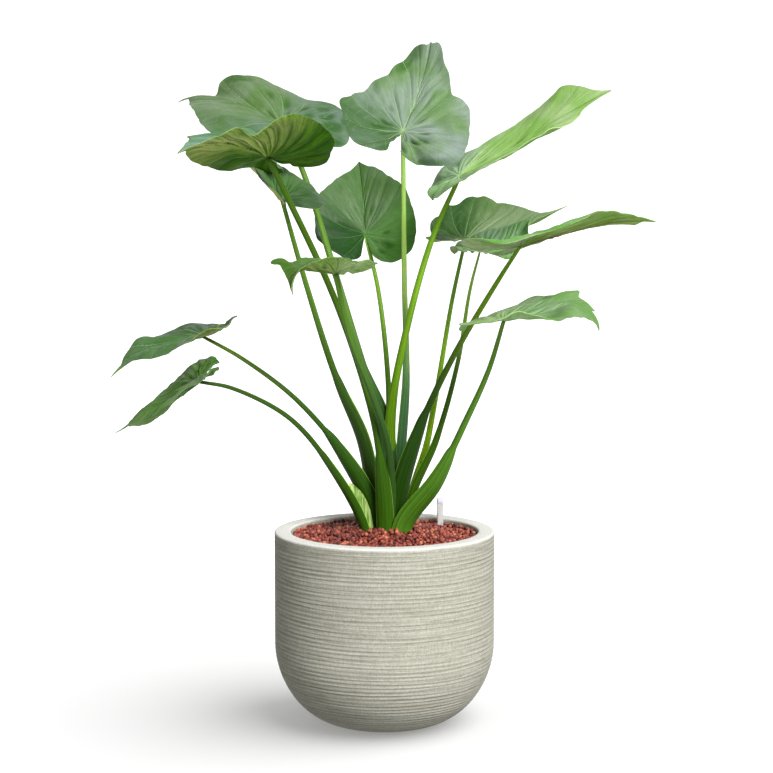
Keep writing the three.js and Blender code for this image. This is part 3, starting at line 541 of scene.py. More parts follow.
def reach_at(leaf, away, side):
    bay = np.sin(np.radians(RIPPLE_RATE * away + np.take(RIPPLE_SHIFT, side)))
    start = np.minimum(1, away / RIPPLE_START)
    fast, slow = (np.radians(rate * away) for rate in NICK_RATES)
    nicks = np.sin(fast + ord(leaf.name) + side) * np.sin(slow + 2 * side)
    ripple = 1 + leaf.ripple * bay * start + NICK_SIZE * nicks * start
    angle = np.where(side == 0, away, -away)
    for middle, spread, size in leaf.bays:
        ripple = ripple + size * np.exp(-(((angle - middle) / spread) ** 2))
    return leaf.length * outline(np.minimum(away, NOTCH_EDGE), leaf.lobes) * ripple


def blade_points(leaf, share, angle, rise):
    """Points of the blade's middle surface in the leaf's own frame, lifted by "rise"."""
    side = np.where(angle >= 0, 0, 1)
    away = np.abs(angle)
    tail = leaf.length * leaf.tail * np.exp(-away / TAIL_SPREAD) * share**TAIL_POWER
    reach = reach_at(leaf, away, side) * share + tail
    along = reach * np.cos(np.radians(away))
    across = reach * leaf.width * np.sin(np.radians(away))
    rate, *starts = leaf.waves
    phase = np.radians(rate * away + np.take(starts, side))
    wave = np.take(leaf.wave, side) * leaf.length * share**2 * np.sin(phase)
    wave = wave * np.minimum(1, away / WAVE_SPAN + WAVE_LEAST)
    for middle, spread, height in leaf.lifts:
        wave = wave + height * share**LIFT_POWER * np.exp(-(((angle - middle) / spread) ** 2))

    span = HALF_SPAN * leaf.length * leaf.width
    folds = zip(leaf.fold, leaf.curl)
    halves = [arc(math.radians(fold), math.radians(curl), across, span) for fold, curl in folds]
    sideways = np.where(side == 0, halves[0][0], -halves[1][0])
    lift = np.where(side == 0, halves[0][1], halves[1][1]) + wave + rise

    bend, lobe_bend, tip_bend, twist = (math.radians(turn) for turn in leaf.bends)
    tip_start = TIP_BEND_FROM * leaf.length
    ahead = arc(0, bend, np.clip(along, 0, tip_start), leaf.length)
    behind = arc(0, lobe_bend, np.minimum(along, 0), leaf.length)
    first = [np.where(along >= 0, a, b) for a, b in zip(ahead, behind)]
    beyond = np.maximum(0, along - tip_start)
    last = arc(first[2], bend * (1 - TIP_BEND_FROM) + tip_bend, beyond, leaf.length - tip_start)
    twist = twist * along / leaf.length
    y = sideways * np.cos(twist) - lift * np.sin(twist)
    z = sideways * np.sin(twist) + lift * np.cos(twist)
    x = first[0] + last[0] + z * np.sin(last[2])
    return np.stack([x, y, z * np.cos(last[2]) - first[1] - last[1]], axis=-1)


def vein_angle(branch, start, end, share):
    if branch:
        past = np.clip((share - branch) / (1 - branch), 0, 1)
        return end * past**BRANCH_POWER
    return start + (end - start) * share**VEIN_POWER


def vein_map(share, away):
    """A number that is whole on each main vein and runs evenly between them, and the angle between the
    two veins round each point, in radians."""
    angles = np.stack([vein_angle(*vein, share) for vein in VEINS])
    below = np.clip((angles <= away).sum(axis=0) - 1, 0, len(VEINS) - 2)
    columns = np.arange(len(share))
    low, high = angles[below, columns], angles[below + 1, columns]
    step = VEIN_PLACES[below + 1] - VEIN_PLACES[below]
    part = np.clip((away - low) / np.maximum(high - low, 1e-6), 0, 1)
    return VEIN_PLACES[below] + step * part, np.radians(high - low) / step


def leaf_turn(leaf):
    """The turn that takes the leaf's own frame to the plant's."""
    heading, pitch, roll = (math.radians(angle) for angle in leaf.turn)
    return turn_about(2, heading) @ turn_about(1, -pitch) @ turn_about(0, roll)


def grid_normals(points, rows, columns):
    grid = points.reshape(rows, columns, 3)
    normal = np.cross(np.gradient(grid, axis=1), np.gradient(grid, axis=0)).reshape(-1, 3)
    return normal / np.maximum(np.linalg.norm(normal, axis=1, keepdims=True), 1e-12)


def blade_relief(leaf, share, angle, phase, spacing, outward):
    """Height of the quilting, pleats, dents and crumples over the smooth blade, and the dents' depth
    from 0 to 1, raised in creases and pleat valleys, which sets how dark they are painted as shade."""
    rng = np.random.default_rng(ord(leaf.name))
    pleat_size, dent_size, crumple_size = leaf.relief
    side = np.where(angle >= 0, 0, 1)
    gap = np.minimum(phase.astype(int), len(VEINS) - 2)
    part = np.clip((phase - gap) / np.diff(VEIN_PLACES)[gap], 0, 1)
    quilt = QUILT_SHARE * np.minimum(spacing, QUILT_SPAN) * np.sin(np.pi * part) ** 0.8
    quilt = quilt * (1 - QUILT_FALL * share**3)
    cross = outward / CROSS_SPACING - CROSS_SWEEP * (1 - np.abs(2 * (phase % 1) - 1))
    net = CROSS_RELIEF * np.abs(np.sin(np.pi * cross)) * np.sin(np.pi * part)
    quilt = quilt + net * smoothstep(share, 0.1, 0.3)
    furrow = np.sin(4 * np.pi * phase) * np.sin(np.pi * share) ** 0.5
    where, deep, middle = (rng.uniform(*ends, (2, len(VEINS)))[side, gap] for ends in DENT_RANGES)
    dent = deep * np.exp(-(((share - where) / DENT_LENGTH) ** 2) - ((part - middle) / DENT_WIDTH) ** 2)
    crumple = np.zeros(len(share))
    for _ in range(CRUMPLE_WAVES):
        around, out, start = rng.integers(2, 10), rng.uniform(1, 5), rng.uniform(0, 2 * np.pi)
        crumple += np.sin(around * np.radians(angle) + out * np.pi * share + start)
    crumple *= crumple_size * share**CRUMPLE_POWER / math.sqrt(CRUMPLE_WAVES)
    relief = quilt + pleat_size * furrow + crumple - dent_size * dent
    # Creases deepen the blade and are also painted darker, as shade, as are the pleat valleys
    for centre, place, spread, length, depth in leaf.creases:
        crease = np.exp(-(((angle - centre) / spread) ** 2) - ((share - place) / length) ** 2)
        relief -= depth * crease
        dent = np.maximum(dent, crease * depth / CREASE_DARK)
    return relief, np.maximum(dent, furrow * pleat_size / PLEAT_DARK)


def blade_faces():
    """Faces of the two surfaces, the top first, and of the thin margin between them."""
    top = [(0, 1 + c, 2 + c) for c in range(BLADE_COLUMNS - 1)]
    top += [
        (a, a + BLADE_COLUMNS, a + BLADE_COLUMNS + 1, a + 1)
        for r in range(BLADE_RINGS - 1)
        for a in range(1 + r * BLADE_COLUMNS, (r + 1) * BLADE_COLUMNS)
    ]
    count = 1 + BLADE_RINGS * BLADE_COLUMNS
    bottom = [tuple(i + count for i in reversed(f)) for f in top]
    margin = [1 + (BLADE_RINGS - 1) * BLADE_COLUMNS + c for c in range(BLADE_COLUMNS)]
    left = [1 + r * BLADE_COLUMNS for r in range(BLADE_RINGS)]
    right = [r * BLADE_COLUMNS for r in range(1, BLADE_RINGS + 1)]
    border = [0] + left[:-1] + margin + right[-2::-1]
    wall = [(a, a + count, b + count, b) for a, b in zip(border, border[1:] + border[:1])]
    return top, bottom, wall


def tints_with_painted_light(tints, back, left):
    """Tints over a surface, from the tip's to the left and the right back lobe's. Some paint shade or light
    shining through.
    """
    tip, left_lobe, right_lobe = (np.array(linear(t)) for t in (*tints, tints[-1])[:3])
    lobe = right_lobe + (left_lobe - right_lobe) * left[:, None]
    return tip + (lobe - tip) * back[:, None]


def blade_object(leaf):
    place = np.linspace(-1, 1, BLADE_COLUMNS)
    angles = NOTCH_EDGE * np.sign(place) * np.abs(place) ** BLADE_CROWDING
    shares = np.linspace(0, 1, BLADE_RINGS + 1)[1:]
    share, angle = (g.ravel() for g in np.meshgrid(shares, angles, indexing="ij"))
    away = np.abs(angle)
    reach = reach_at(leaf, away, np.where(angle >= 0, 0, 1)) * share
    phase, spread = vein_map(share, away)
    spacing = np.maximum(spread * reach, 1e-5)
    relief, dent = blade_relief(leaf, share, angle, phase, spacing, reach)
    beside = reach * leaf.width * np.sin(np.radians(np.minimum(away, 90)))
    beside = np.where(away > 90, 1, beside)
    rib = np.exp(-((beside / (RIB_WIDTH * (1 - 0.65 * share))) ** 2))

    middle = blade_points(leaf, share, angle, relief - VEIN_SUNK * rib)
    normal = grid_normals(middle, BLADE_RINGS, BLADE_COLUMNS)
    up = np.array([0, 0, 1.0])
    normal *= np.sign((normal @ up).sum())
    half = BLADE_THICKNESS / 2
    proud = half + RIB_HEIGHT * (1 - 0.8 * share) * rib
    top, bottom = middle + normal * half, middle - normal * proud[:, None]
    points = np.concatenate([[up * half], top, [-up * half], bottom])
    upper, lower, wall = blade_faces()
    made = new_object("leaf_" + leaf.name, points @ leaf_turn(leaf).T + leaf.at, upper + lower + wall)

    def both(values, first):
        whole = np.concatenate([[first], values])
        return np.concatenate([whole, whole])

    set_numbers(made, "leaf_map", both(np.stack([phase, share, spacing], axis=1), [0, 0, 1e-5]))
    for name, values in (("beside", beside), ("outward", reach), ("dent", dent)):
        set_numbers(made, name, both(values, 0))
    back = np.concatenate([[0.5], smoothstep(away, *LOBE_TINT)])
    left = np.concatenate([[0.5], smoothstep(angle, *SIDE_TINT)])
    set_colours(made, "tint", np.concatenate([tints_with_painted_light(t, back, left) for t in (leaf.top, leaf.under)]))
    set_colours(made, "vein_tint", [linear(leaf.vein)] * len(points))
    hand_over(made, "blade", "blade_" + leaf.name, "blade_top", "blade_under")
    surface = [0] * len(upper) + [1] * len(lower) + [0] * len(wall)
    made.data.polygons.foreach_set("material_index", surface)
    made.data.set_sharp_from_angle(angle=math.radians(50))


# Stalks


def curve_point(way, share):
    """A point of the smooth curve through the points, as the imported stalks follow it."""
    place = (len(way) - 1) * share
    k = min(int(place), len(way) - 2)
    weight = place - k
    p1, p2 = way[k], way[k + 1]
    p0 = way[k - 1] if k > 0 else 2 * way[0] - way[1]
    p3 = way[k + 2] if k + 2 < len(way) else 2 * way[-1] - way[-2]
    d0, d1, d2 = (math.sqrt(np.linalg.norm(b - a)) for a, b in ((p0, p1), (p1, p2), (p2, p3)))
    start = ((p1 - p0) / d0 - (p2 - p0) / (d0 + d1) + (p2 - p1) / d1) * d1
    end = ((p2 - p1) / d1 - (p3 - p1) / (d1 + d2) + (p3 - p2) / d2) * d1
    cubic = 2 * p1 - 2 * p2 + start + end
    square = -3 * p1 + 3 * p2 - 2 * start - end
    return p1 + start * weight + square * weight**2 + cubic * weight**3


def stalk_rings(leaf):
    """The stalk's rings of points, and how much of each ring is sheath."""
    way = np.array([*leaf.stalk, leaf.at])
    foot = way[0]
    outward = np.array([foot[0] - CROWN_MIDDLE[0], foot[1] - CROWN_MIDDLE[1], 0])
    half_width, wrap, sheath_top = leaf.sheath
    inner = 1 if foot[0] > CROWN_MIDDLE[0] else -1
    turns = 2 * np.pi * np.arange(STALK_SIDES) / STALK_SIDES
    rings, sheaths = [], []
    for share in np.linspace(0, 1, STALK_STEPS + 1):
        centre = curve_point(way, share)
        ahead = curve_point(way, min(1, share + 1e-4))
        back = curve_point(way, max(0, share - 1e-4))
        along = unit(ahead - back)
        across = unit(np.cross(outward, along))
        out = np.cross(along, across)
        climb = min(1, (centre[2] - foot[2]) / (sheath_top - foot[2]))
        sheath = 1 - climb**SHEATH_SHOULDER
        shoulder = SHOULDER_SIZE * (1 - climb**SHOULDER_POWER)
        lean = np.where(np.cos(turns) * inner > 0, max(sheath, shoulder), sheath)
        radius = leaf.thick[0] + (leaf.thick[1] - leaf.thick[0]) * share
        width = radius + (half_width - radius) * lean
        depth = radius + (SHEATH_THICKNESS / 2 - radius) * sheath
        x = width * np.cos(turns)
        y = depth * np.sin(turns) + wrap * sheath * np.sin(turns) ** 2
        rings.append(centre + x[:, None] * across + y[:, None] * out)
        sheaths.append(sheath)
    return np.array(rings), np.array(sheaths)


def stalk_object(leaf):
    rings, sheaths = stalk_rings(leaf)
    turn = leaf_turn(leaf)
    local = (rings.reshape(-1, 3) - leaf.at) @ turn
    near = np.linalg.norm(local, axis=1) < NEAR_BLADE
    local[near, 2] = np.minimum(local[near, 2], -BLADE_THICKNESS / 2)
    points = local @ turn.T + leaf.at
    rows = len(rings)
    made = new_object("stem_" + leaf.name, points, tube_faces(rows, STALK_SIDES))
    row = np.repeat(np.arange(rows), STALK_SIDES)
    around = 2 * np.pi * np.tile(np.arange(STALK_SIDES) / STALK_SIDES, rows)
    height = smoothstep(points[:, 2], *STEM_TINT)[:, None]
    foot, stem = np.array(linear(leaf.foot)), np.array(linear(leaf.stem))
    set_colours(made, "tint", foot * (1 - height) + stem * height)
    set_numbers(made, "edge", np.abs(np.cos(around)) ** 16 * smoothstep(sheaths[row], 0.1, 0.5))
    set_numbers(made, "stalk_map", np.stack([np.cos(around), np.sin(around), row / rows], 1))
    hand_over(made, "stalk", "stalk_" + leaf.name, "stalk")


SCALE_LEAF_WAY = np.array(
    [(-0.019, 0.013, 0.204), (-0.023, 0.013, 0.261), (-0.033, 0.012, 0.288), (-0.044, 0.012, 0.303)]
)
SCALE_LEAF_ROWS, SCALE_LEAF_SIDES = 40, 20
SCALE_LEAF_WIDTH, SCALE_LEAF_DEPTH, SCALE_LEAF_CURL = 0.0066, 0.0009, 0.0012


def scale_leaf_object():
    """The small pale scale leaf that stands between two sheaths on the left."""
    turns = 2 * np.pi * np.arange(SCALE_LEAF_SIDES) / SCALE_LEAF_SIDES
    points = []
    for share in np.linspace(0, 1, SCALE_LEAF_ROWS):
        x = SCALE_LEAF_WIDTH * (1 - 0.72 * share**5) * np.cos(turns)
        y = SCALE_LEAF_DEPTH * np.sin(turns) - SCALE_LEAF_CURL * (np.cos(turns) ** 2 - 0.5)
        centre = curve_point(SCALE_LEAF_WAY, share)
        points.append(centre + np.stack([x, y, np.zeros(SCALE_LEAF_SIDES)], axis=1))
    faces = tube_faces(SCALE_LEAF_ROWS, SCALE_LEAF_SIDES)
    made = new_object("scale_leaf_blade", np.concatenate(points), faces)
    hand_over(made, "scale_leaf", "scale_leaf", "scale_leaf")


# Planter


def foot_profile(turn, base_radius, wall_radius, base, top):
    power = 2 / FOOT_ROUNDNESS
    radius = base_radius + (wall_radius - base_radius) * np.maximum(np.cos(turn), 0) ** power
    return radius, top - (top - base) * np.sin(turn) ** power


def even_profile(points, count):
    """The profile as "count" points at even steps along it, with their outward normals."""
    points = np.array(points)
    steps = np.linalg.norm(np.diff(points, axis=0), axis=1)
    length = np.concatenate([[0], np.cumsum(steps)])
    at = np.linspace(0, length[-1], count)
    even = np.stack([np.interp(at, length, points[:, i]) for i in (0, 1)], axis=1)
    along = np.gradient(even, axis=0)
    along /= np.linalg.norm(along, axis=1, keepdims=True)
    return even, np.stack([along[:, 1], -along[:, 0]], axis=1)


def slow_wobble(turns, places, seed, waves, size):
    """A smooth random height over the turn and the place along the profile, closed round the planter."""
    rng = np.random.default_rng(seed)
    total = np.zeros((len(places), len(turns)))
    for _ in range(waves):
        around = rng.integers(1, 5)
        up = rng.uniform(3, 40)
        phase = rng.uniform(0, 2 * np.pi)
        total += np.sin(around * turns[None, :] + up * places[:, None] + phase)
    return size * total / math.sqrt(waves)


def pot_object():
    wall_top = POT_HEIGHT - RIM_ROUND
    foot = foot_profile(np.linspace(np.pi / 2, 0, FOOT_STEPS), BASE_RADIUS, POT_RADIUS, 0, FOOT_HEIGHT)
    rows = RIDGE_COUNT * ROWS_PER_RIDGE + 1
    even, normal = even_profile(list(zip(*foot)) + [(POT_RADIUS, wall_top)], rows)
    turns = circle(POT_TURNS)
    place = np.linspace(0, 1, rows)
    phase = RIDGE_COUNT * place[:, None] + slow_wobble(turns, place, *RIDGE_SHIFT)
    strength = RIDGE_STRENGTH + slow_wobble(turns, place * STRENGTH_RATE, *STRENGTH_CHANGE)
    groove = (1 - np.abs(np.cos(np.pi * phase)) ** RIDGE_POWER) * np.clip(strength, *RIDGE_LIMITS)
    groove = groove * (smoothstep(place, 0, 0.03) * smoothstep(1 - place, 0, 0.02))[:, None]
    inset = RIDGE_RELIEF * groove

    quarter = np.linspace(0, np.pi / 2, RIM_STEPS)
    edges = ((POT_RADIUS, -RIM_ROUND, quarter[1:]), (RIM_INNER_RADIUS, RIM_ROUND, quarter[::-1]))
    rim = [
        (edge + inward * (1 - math.cos(t)), wall_top + RIM_ROUND * math.sin(t))
        for edge, inward, part in edges
        for t in part
    ]
    inner = np.linspace(0, np.pi / 2, FLOOR_STEPS)
    rim += zip(*foot_profile(inner, FLOOR_RADIUS, RIM_INNER_RADIUS, FLOOR_THICKNESS, FOOT_HEIGHT))
    rest = np.array(rim)
    radius, height = (
        np.concatenate([wall - inset * away, np.repeat(inside, POT_TURNS, axis=1)])
        for wall, away, inside in zip(*(values.T[:, :, None] for values in (even, normal, rest)))
    )
    points = ring_points(radius, turns, height).reshape(-1, 3)
    made = new_object("planter", points, tube_faces(len(radius), POT_TURNS))
    set_numbers(made, "groove", np.concatenate([groove, np.zeros((len(rest), POT_TURNS))]).ravel())
    made.data.set_sharp_from_angle(angle=math.radians(60))
    hand_over(made, "planter", "pot", "planter")


# Granules


def mound_at(x, y):
    away = np.hypot(x - MOUND_CENTRE[0], y - MOUND_CENTRE[1]) / MOUND_RADIUS
    return np.where(away < 1, MOUND_HEIGHT * (1 - np.minimum(away, 1) ** 2) ** 2, 0)


def inside_ring(x, y, ring):
    """Which points lie inside the ring, seen from above."""
    inside = np.zeros(len(x), bool)
    for a, b in zip(ring, np.roll(ring, -1, axis=0)):
        crosses = (a[1] > y) != (b[1] > y)
        at = a[0] + (y - a[1]) * (b[0] - a[0]) / np.where(b[1] == a[1], 1e-9, b[1] - a[1])
        inside ^= crosses & (x < at)
    return inside


def round_base():
    bpy.ops.mesh.primitive_ico_sphere_add(subdivisions=2, radius=1)
    ball = bpy.context.object
    points = np.array([v.co[:] for v in ball.data.vertices])
    faces = np.array([p.vertices[:] for p in ball.data.polygons])
    bpy.data.objects.remove(ball)
    return points, faces


def granule_places(rng):
    """Centres and radii of the granules: an even layer, loose ones on top of it, and rings by the wall."""
    room = RIM_INNER_RADIUS - WALL_GAP
    rows = int(2 * room / (GRANULE_SPACING * ROW_SHARE)) + 2
    found = []
    for r in range(rows):
        for c in range(rows):
            x = (c + 0.5 * (r % 2)) * GRANULE_SPACING - room
            found.append((x, r * GRANULE_SPACING * ROW_SHARE - room, 0.0))
    for _ in range(LOOSE_GRANULES):
        angle, distance = rng.uniform(0, 2 * np.pi), room * math.sqrt(rng.uniform(0, 1))
        found.append((distance * math.cos(angle), distance * math.sin(angle), LOOSE_LEVEL))
    found = np.array(found)
    found[:, :2] += rng.normal(0, GRANULE_SCATTER, (len(found), 2))
    by_wall = []
    for level, count in WALL_RINGS:
        turns = 2 * np.pi * (np.arange(count) + rng.uniform(0, 1)) / count
        out = room - WALL_GRANULE_GAP - rng.uniform(0, WALL_SCATTER, count) - WALL_LEAN * level
        by_wall.append(ring_points(out, turns, level))
    found = np.concatenate([found, *by_wall])
    radius = rng.uniform(*GRANULE_RADIUS, len(found))
    radius[-sum(count for _, count in WALL_RINGS):] = GRANULE_RADIUS[1] - WALL_SMALLER
    kept = np.hypot(found[:, 0], found[:, 1]) < room - radius
    found, radius = found[kept], radius[kept]
    height = GRANULE_TOP - GRANULE_SUNK + mound_at(found[:, 0], found[:, 1]) + found[:, 2]
    found[:, 2] = height + rng.uniform(*GRANULE_LEVELS, len(found))
    return found, radius


def free_of_stalks(places):
    free = np.ones(len(places), bool)
    for leaf in LEAVES:
        rings, _ = stalk_rings(leaf)
        level = rings[np.argmin(np.abs(rings[:, :, 2].mean(axis=1) - STALK_LEVEL))]
        wider = level.mean(axis=0) + (level - level.mean(axis=0)) * STALK_ROOM
        free &= ~inside_ring(places[:, 0], places[:, 1], wider)
    return free


def granule_layer():
    """Single granules, each a lumpy ball with its own turn and tint."""
    rng = np.random.default_rng(GRANULE_SEED)
    places, radii = granule_places(rng)
    free = free_of_stalks(places)
    ball, ball_faces = round_base()
    points, faces, tints = [], [], []
    colours, weights = [linear(c) for c in GRANULE_COLOURS], list(GRANULE_COLOURS.values())
    for k, (centre, radius) in enumerate(zip(places[free], radii[free])):
        sizes = radius * rng.uniform(*GRANULE_SIZES, 3)
        axis = unit(rng.normal(size=3))
        other = unit(np.cross(axis, rng.normal(size=3)))
        turn = np.stack([axis, other, np.cross(axis, other)])
        lumps = 1 + LUMP_WAVE * np.sin(ball @ rng.uniform(-3, 3, 3) + rng.uniform(0, 6))
        lumps = lumps + rng.uniform(-LUMP_NOISE, LUMP_NOISE, len(ball))
        points.append(centre + (ball * lumps[:, None] * sizes) @ turn)
        faces.append(ball_faces + k * len(ball))
        tint = np.array(colours[rng.choice(len(colours), p=weights)]) * rng.uniform(*GRANULE_TONES)
        tints.append(np.repeat(tint[None, :], len(ball), axis=0))
    made = new_object("granule_layer", np.concatenate(points), np.concatenate(faces))
    set_colours(made, "tint", np.concatenate(tints))
    hand_over(made, "granules", None, "granules")


def granule_bed():
    """The bed's body under the single granules and down to the planter's floor, painted dark as shade between
    granules.
    """
    turns = circle(BED_TURNS)
    bed = []
    for k in range(1, BED_RINGS + 1):
        ring = ring_points(BED_RADIUS * k / BED_RINGS, turns, GRANULE_TOP - BED_SUNK)
        ring[:, 2] += mound_at(ring[:, 0], ring[:, 1])
        bed.append(ring)
    inner = np.linspace(0, np.pi / 2, BED_FLOOR_STEPS)
    for radius, height in zip(*foot_profile(inner, BED_FLOOR_RADIUS, BED_RADIUS, BED_FLOOR, FOOT_HEIGHT)):
        bed.append(ring_points(radius, turns, height))
    faces = [tuple(reversed(f)) for f in tube_faces(len(bed), BED_TURNS)]
    made = new_object("granule_bed", np.concatenate(bed), faces)
    hand_over(made, "granules", "granules", "bed")


# Water-level indicator

GAUGE_PLACE = (0.0735, 0.084, 0)
GAUGE_TURN = 0.2
GAUGE_WIDTH, GAUGE_DEPTH, GAUGE_CORNER = 0.0084, 0.0048, 0.0012
GAUGE_WALL, GAUGE_LIP, GAUGE_GAP = 0.0011, 0.0004, 0.0003
GAUGE_BOTTOM, GAUGE_TOP, GAUGE_CAP = 0.128, 0.266, 0.006
CAP_BEVEL = 0.0008
GAUGE_MARKS = (0.2465, 0.2615)
FLOAT_SIZE, FLOAT_LENGTH = (0.0036, 0.0016, 0.0003), 0.110


def rounded_ring(width, depth, corner, height, steps=6):
    ring = []
    for k, (sx, sy) in enumerate(((1, 1), (-1, 1), (-1, -1), (1, -1))):
        for step in range(steps + 1):
            turn = (k + step / steps) * np.pi / 2
            x = sx * (width / 2 - corner) + corner * math.cos(turn)
            ring.append((x, sy * (depth / 2 - corner) + corner * math.sin(turn), height))
    return ring


def gauge_piece(name, rings, material, node, slot):
    points = np.concatenate(rings) @ turn_about(2, GAUGE_TURN).T + np.array(GAUGE_PLACE)
    made = new_object(name, points, tube_faces(len(rings), len(rings[0])))
    made.data.set_sharp_from_angle(angle=math.radians(40))
    hand_over(made, slot, node, material)


def gauge_objects():
    w, d, c = GAUGE_WIDTH, GAUGE_DEPTH, GAUGE_CORNER
    inner = (w - 2 * GAUGE_WALL, d - 2 * GAUGE_WALL, GAUGE_LIP)
    tube = [
        rounded_ring(*inner, GAUGE_BOTTOM + GAUGE_LIP),
        rounded_ring(w, d, c, GAUGE_BOTTOM),
        rounded_ring(w, d, c, GAUGE_TOP),
        rounded_ring(*inner, GAUGE_TOP - GAUGE_LIP),
    ]
    gauge_piece("gauge_tube", tube, "gauge", "indicator_tube", "gauge")
    over = GAUGE_GAP
    low, high = GAUGE_TOP + GAUGE_GAP, GAUGE_TOP + GAUGE_GAP + GAUGE_CAP
    cap = [
        rounded_ring(w + 2 * over, d + 2 * over, c + over, low),
        rounded_ring(w + 2 * over, d + 2 * over, c + over, high - CAP_BEVEL),
        rounded_ring(w + 2 * over - CAP_BEVEL, d + 2 * over - CAP_BEVEL, c + over, high - CAP_BEVEL / 4),
        rounded_ring(w + over, d + over, c, high),
    ]
    gauge_piece("gauge_cap", cap, "cap", "indicator_cap", "gauge_cap")
    top = GAUGE_TOP - GAUGE_GAP
    rod = [rounded_ring(*FLOAT_SIZE, top - FLOAT_LENGTH), rounded_ring(*FLOAT_SIZE, top)]
    gauge_piece("gauge_float", rod, "float", "indicator_float", "float")


# Materials


def blade_material(name, roughness, vein_strength, fine_strength, shine, streaks):
    m = Material(name)
    leaf_map = m.attribute("leaf_map", "Vector")
    phase, share, spacing = m.parts(leaf_map)
    thin = m.fade(share, 0.0, 1.0, 1.0, 0.35)
    distance = m.times(m.math("PINGPONG", phase, 0.5), spacing)
    side = m.fade(m.math("DIVIDE", distance, m.times(thin, 0.0011)), 1.3, 0.2)
    rib = m.fade(m.math("DIVIDE", m.attribute("beside"), m.times(thin, 0.0016)), 1.2, 0.3)
    vein = m.math("MAXIMUM", rib, m.times(side, 0.8))
    between = m.times(m.math("PINGPONG", phase, 0.5), 2 * CROSS_SWEEP)
    swept = m.math("SUBTRACT", m.math("DIVIDE", m.attribute("outward"), CROSS_SPACING), between)
    swept = m.math("ADD", swept, m.times(m.noise(45.0, 2.0), 1.6))
    cross_distance = m.times(m.math("PINGPONG", swept, 0.5), CROSS_SPACING)
    fine = m.times(m.fade(cross_distance, 0.0010, 0.0001), m.fade(share, 0.1, 0.3))

    blotch = m.fade(m.noise(20.0, 3.0), 0.35, 0.65)
    colour = m.vary(1.0, m.attribute("tint", "Color"), blotch, (0.74, 0.92, 0.55), (1.22, 1.12, 1.45))
    streak = m.fade(m.noise(1.0, 3.0, m.stretched(leaf_map, (10.0, 3.0, 0.0)), 0.6), 0.3, 0.7)
    colour = m.vary(streaks, colour, streak, (0.45, 0.55, 0.4), (1.6, 1.45, 1.7))
    colour = m.vary(0.25, colour, m.noise(420.0, 2.0), (0.7, 0.75, 0.7), (1.3, 1.25, 1.3))
    # Painted shade: dents, creases and pleat valleys are darkened towards a dark green
    dent = m.attribute("dent")
    colour = m.mix(m.times(m.fade(dent, 0.15, 0.9), 0.65), colour, (0.02, 0.07, 0.01))
    vein_tint = m.attribute("vein_tint", "Color")
    colour = m.mix(m.times(fine, fine_strength), colour, vein_tint)
    colour = m.mix(m.times(vein, vein_strength), colour, vein_tint)
    normal = m.bump(m.math("ADD", m.times(vein, -0.8), m.times(fine, -0.25)), 0.0009, 0.8)
    normal = m.bump(m.noise(180.0, 3.0), 0.0006, 0.35, normal)
    rough = m.fade(m.noise(60.0, 2.0), 0.3, 0.7, roughness - 0.06, roughness + 0.08)
    sheen = m.fade(dent, 0.1, 0.8, shine, 0.04)
    return m.finish(Base_Color=colour, Roughness=rough, Normal=normal, Specular_IOR_Level=sheen)


def stalk_material():
    m = Material("stalk")
    streak = m.noise(2.2, 4.0, m.stretched(m.attribute("stalk_map", "Vector"), (4.0, 4.0, 1.0)), 0.6)
    tone = m.fade(streak, 0.3, 0.7)
    colour = m.vary(1.0, m.attribute("tint", "Color"), tone, (0.62, 0.66, 0.6), (1.42, 1.34, 1.4))
    colour = m.vary(0.3, colour, m.noise(35.0, 3.0), (0.6, 0.68, 0.6), (1.4, 1.3, 1.3))
    edge = m.times(m.fade(m.attribute("edge"), 0.35, 0.9), 0.8)
    return m.finish(
        Base_Color=m.mix(edge, colour, (0.24, 0.46, 0.03)), Roughness=m.fade(streak, 0.3, 0.7, 0.40, 0.52),
        Normal=m.bump(streak, 0.0010, 0.6), Specular_IOR_Level=0.10,
    )


def scale_leaf_material():
    m = Material("scale_leaf")
    streak = m.noise(34.0, 3.0, m.stretched(m.place(), (12.0, 12.0, 0.8)), 0.6)
    colour = m.mix(m.fade(streak, 0.38, 0.62), (0.09, 0.22, 0.02), (0.44, 0.58, 0.18))
    return m.finish(Base_Color=colour, Roughness=0.5, Normal=m.bump(streak, 0.0008, 0.5))


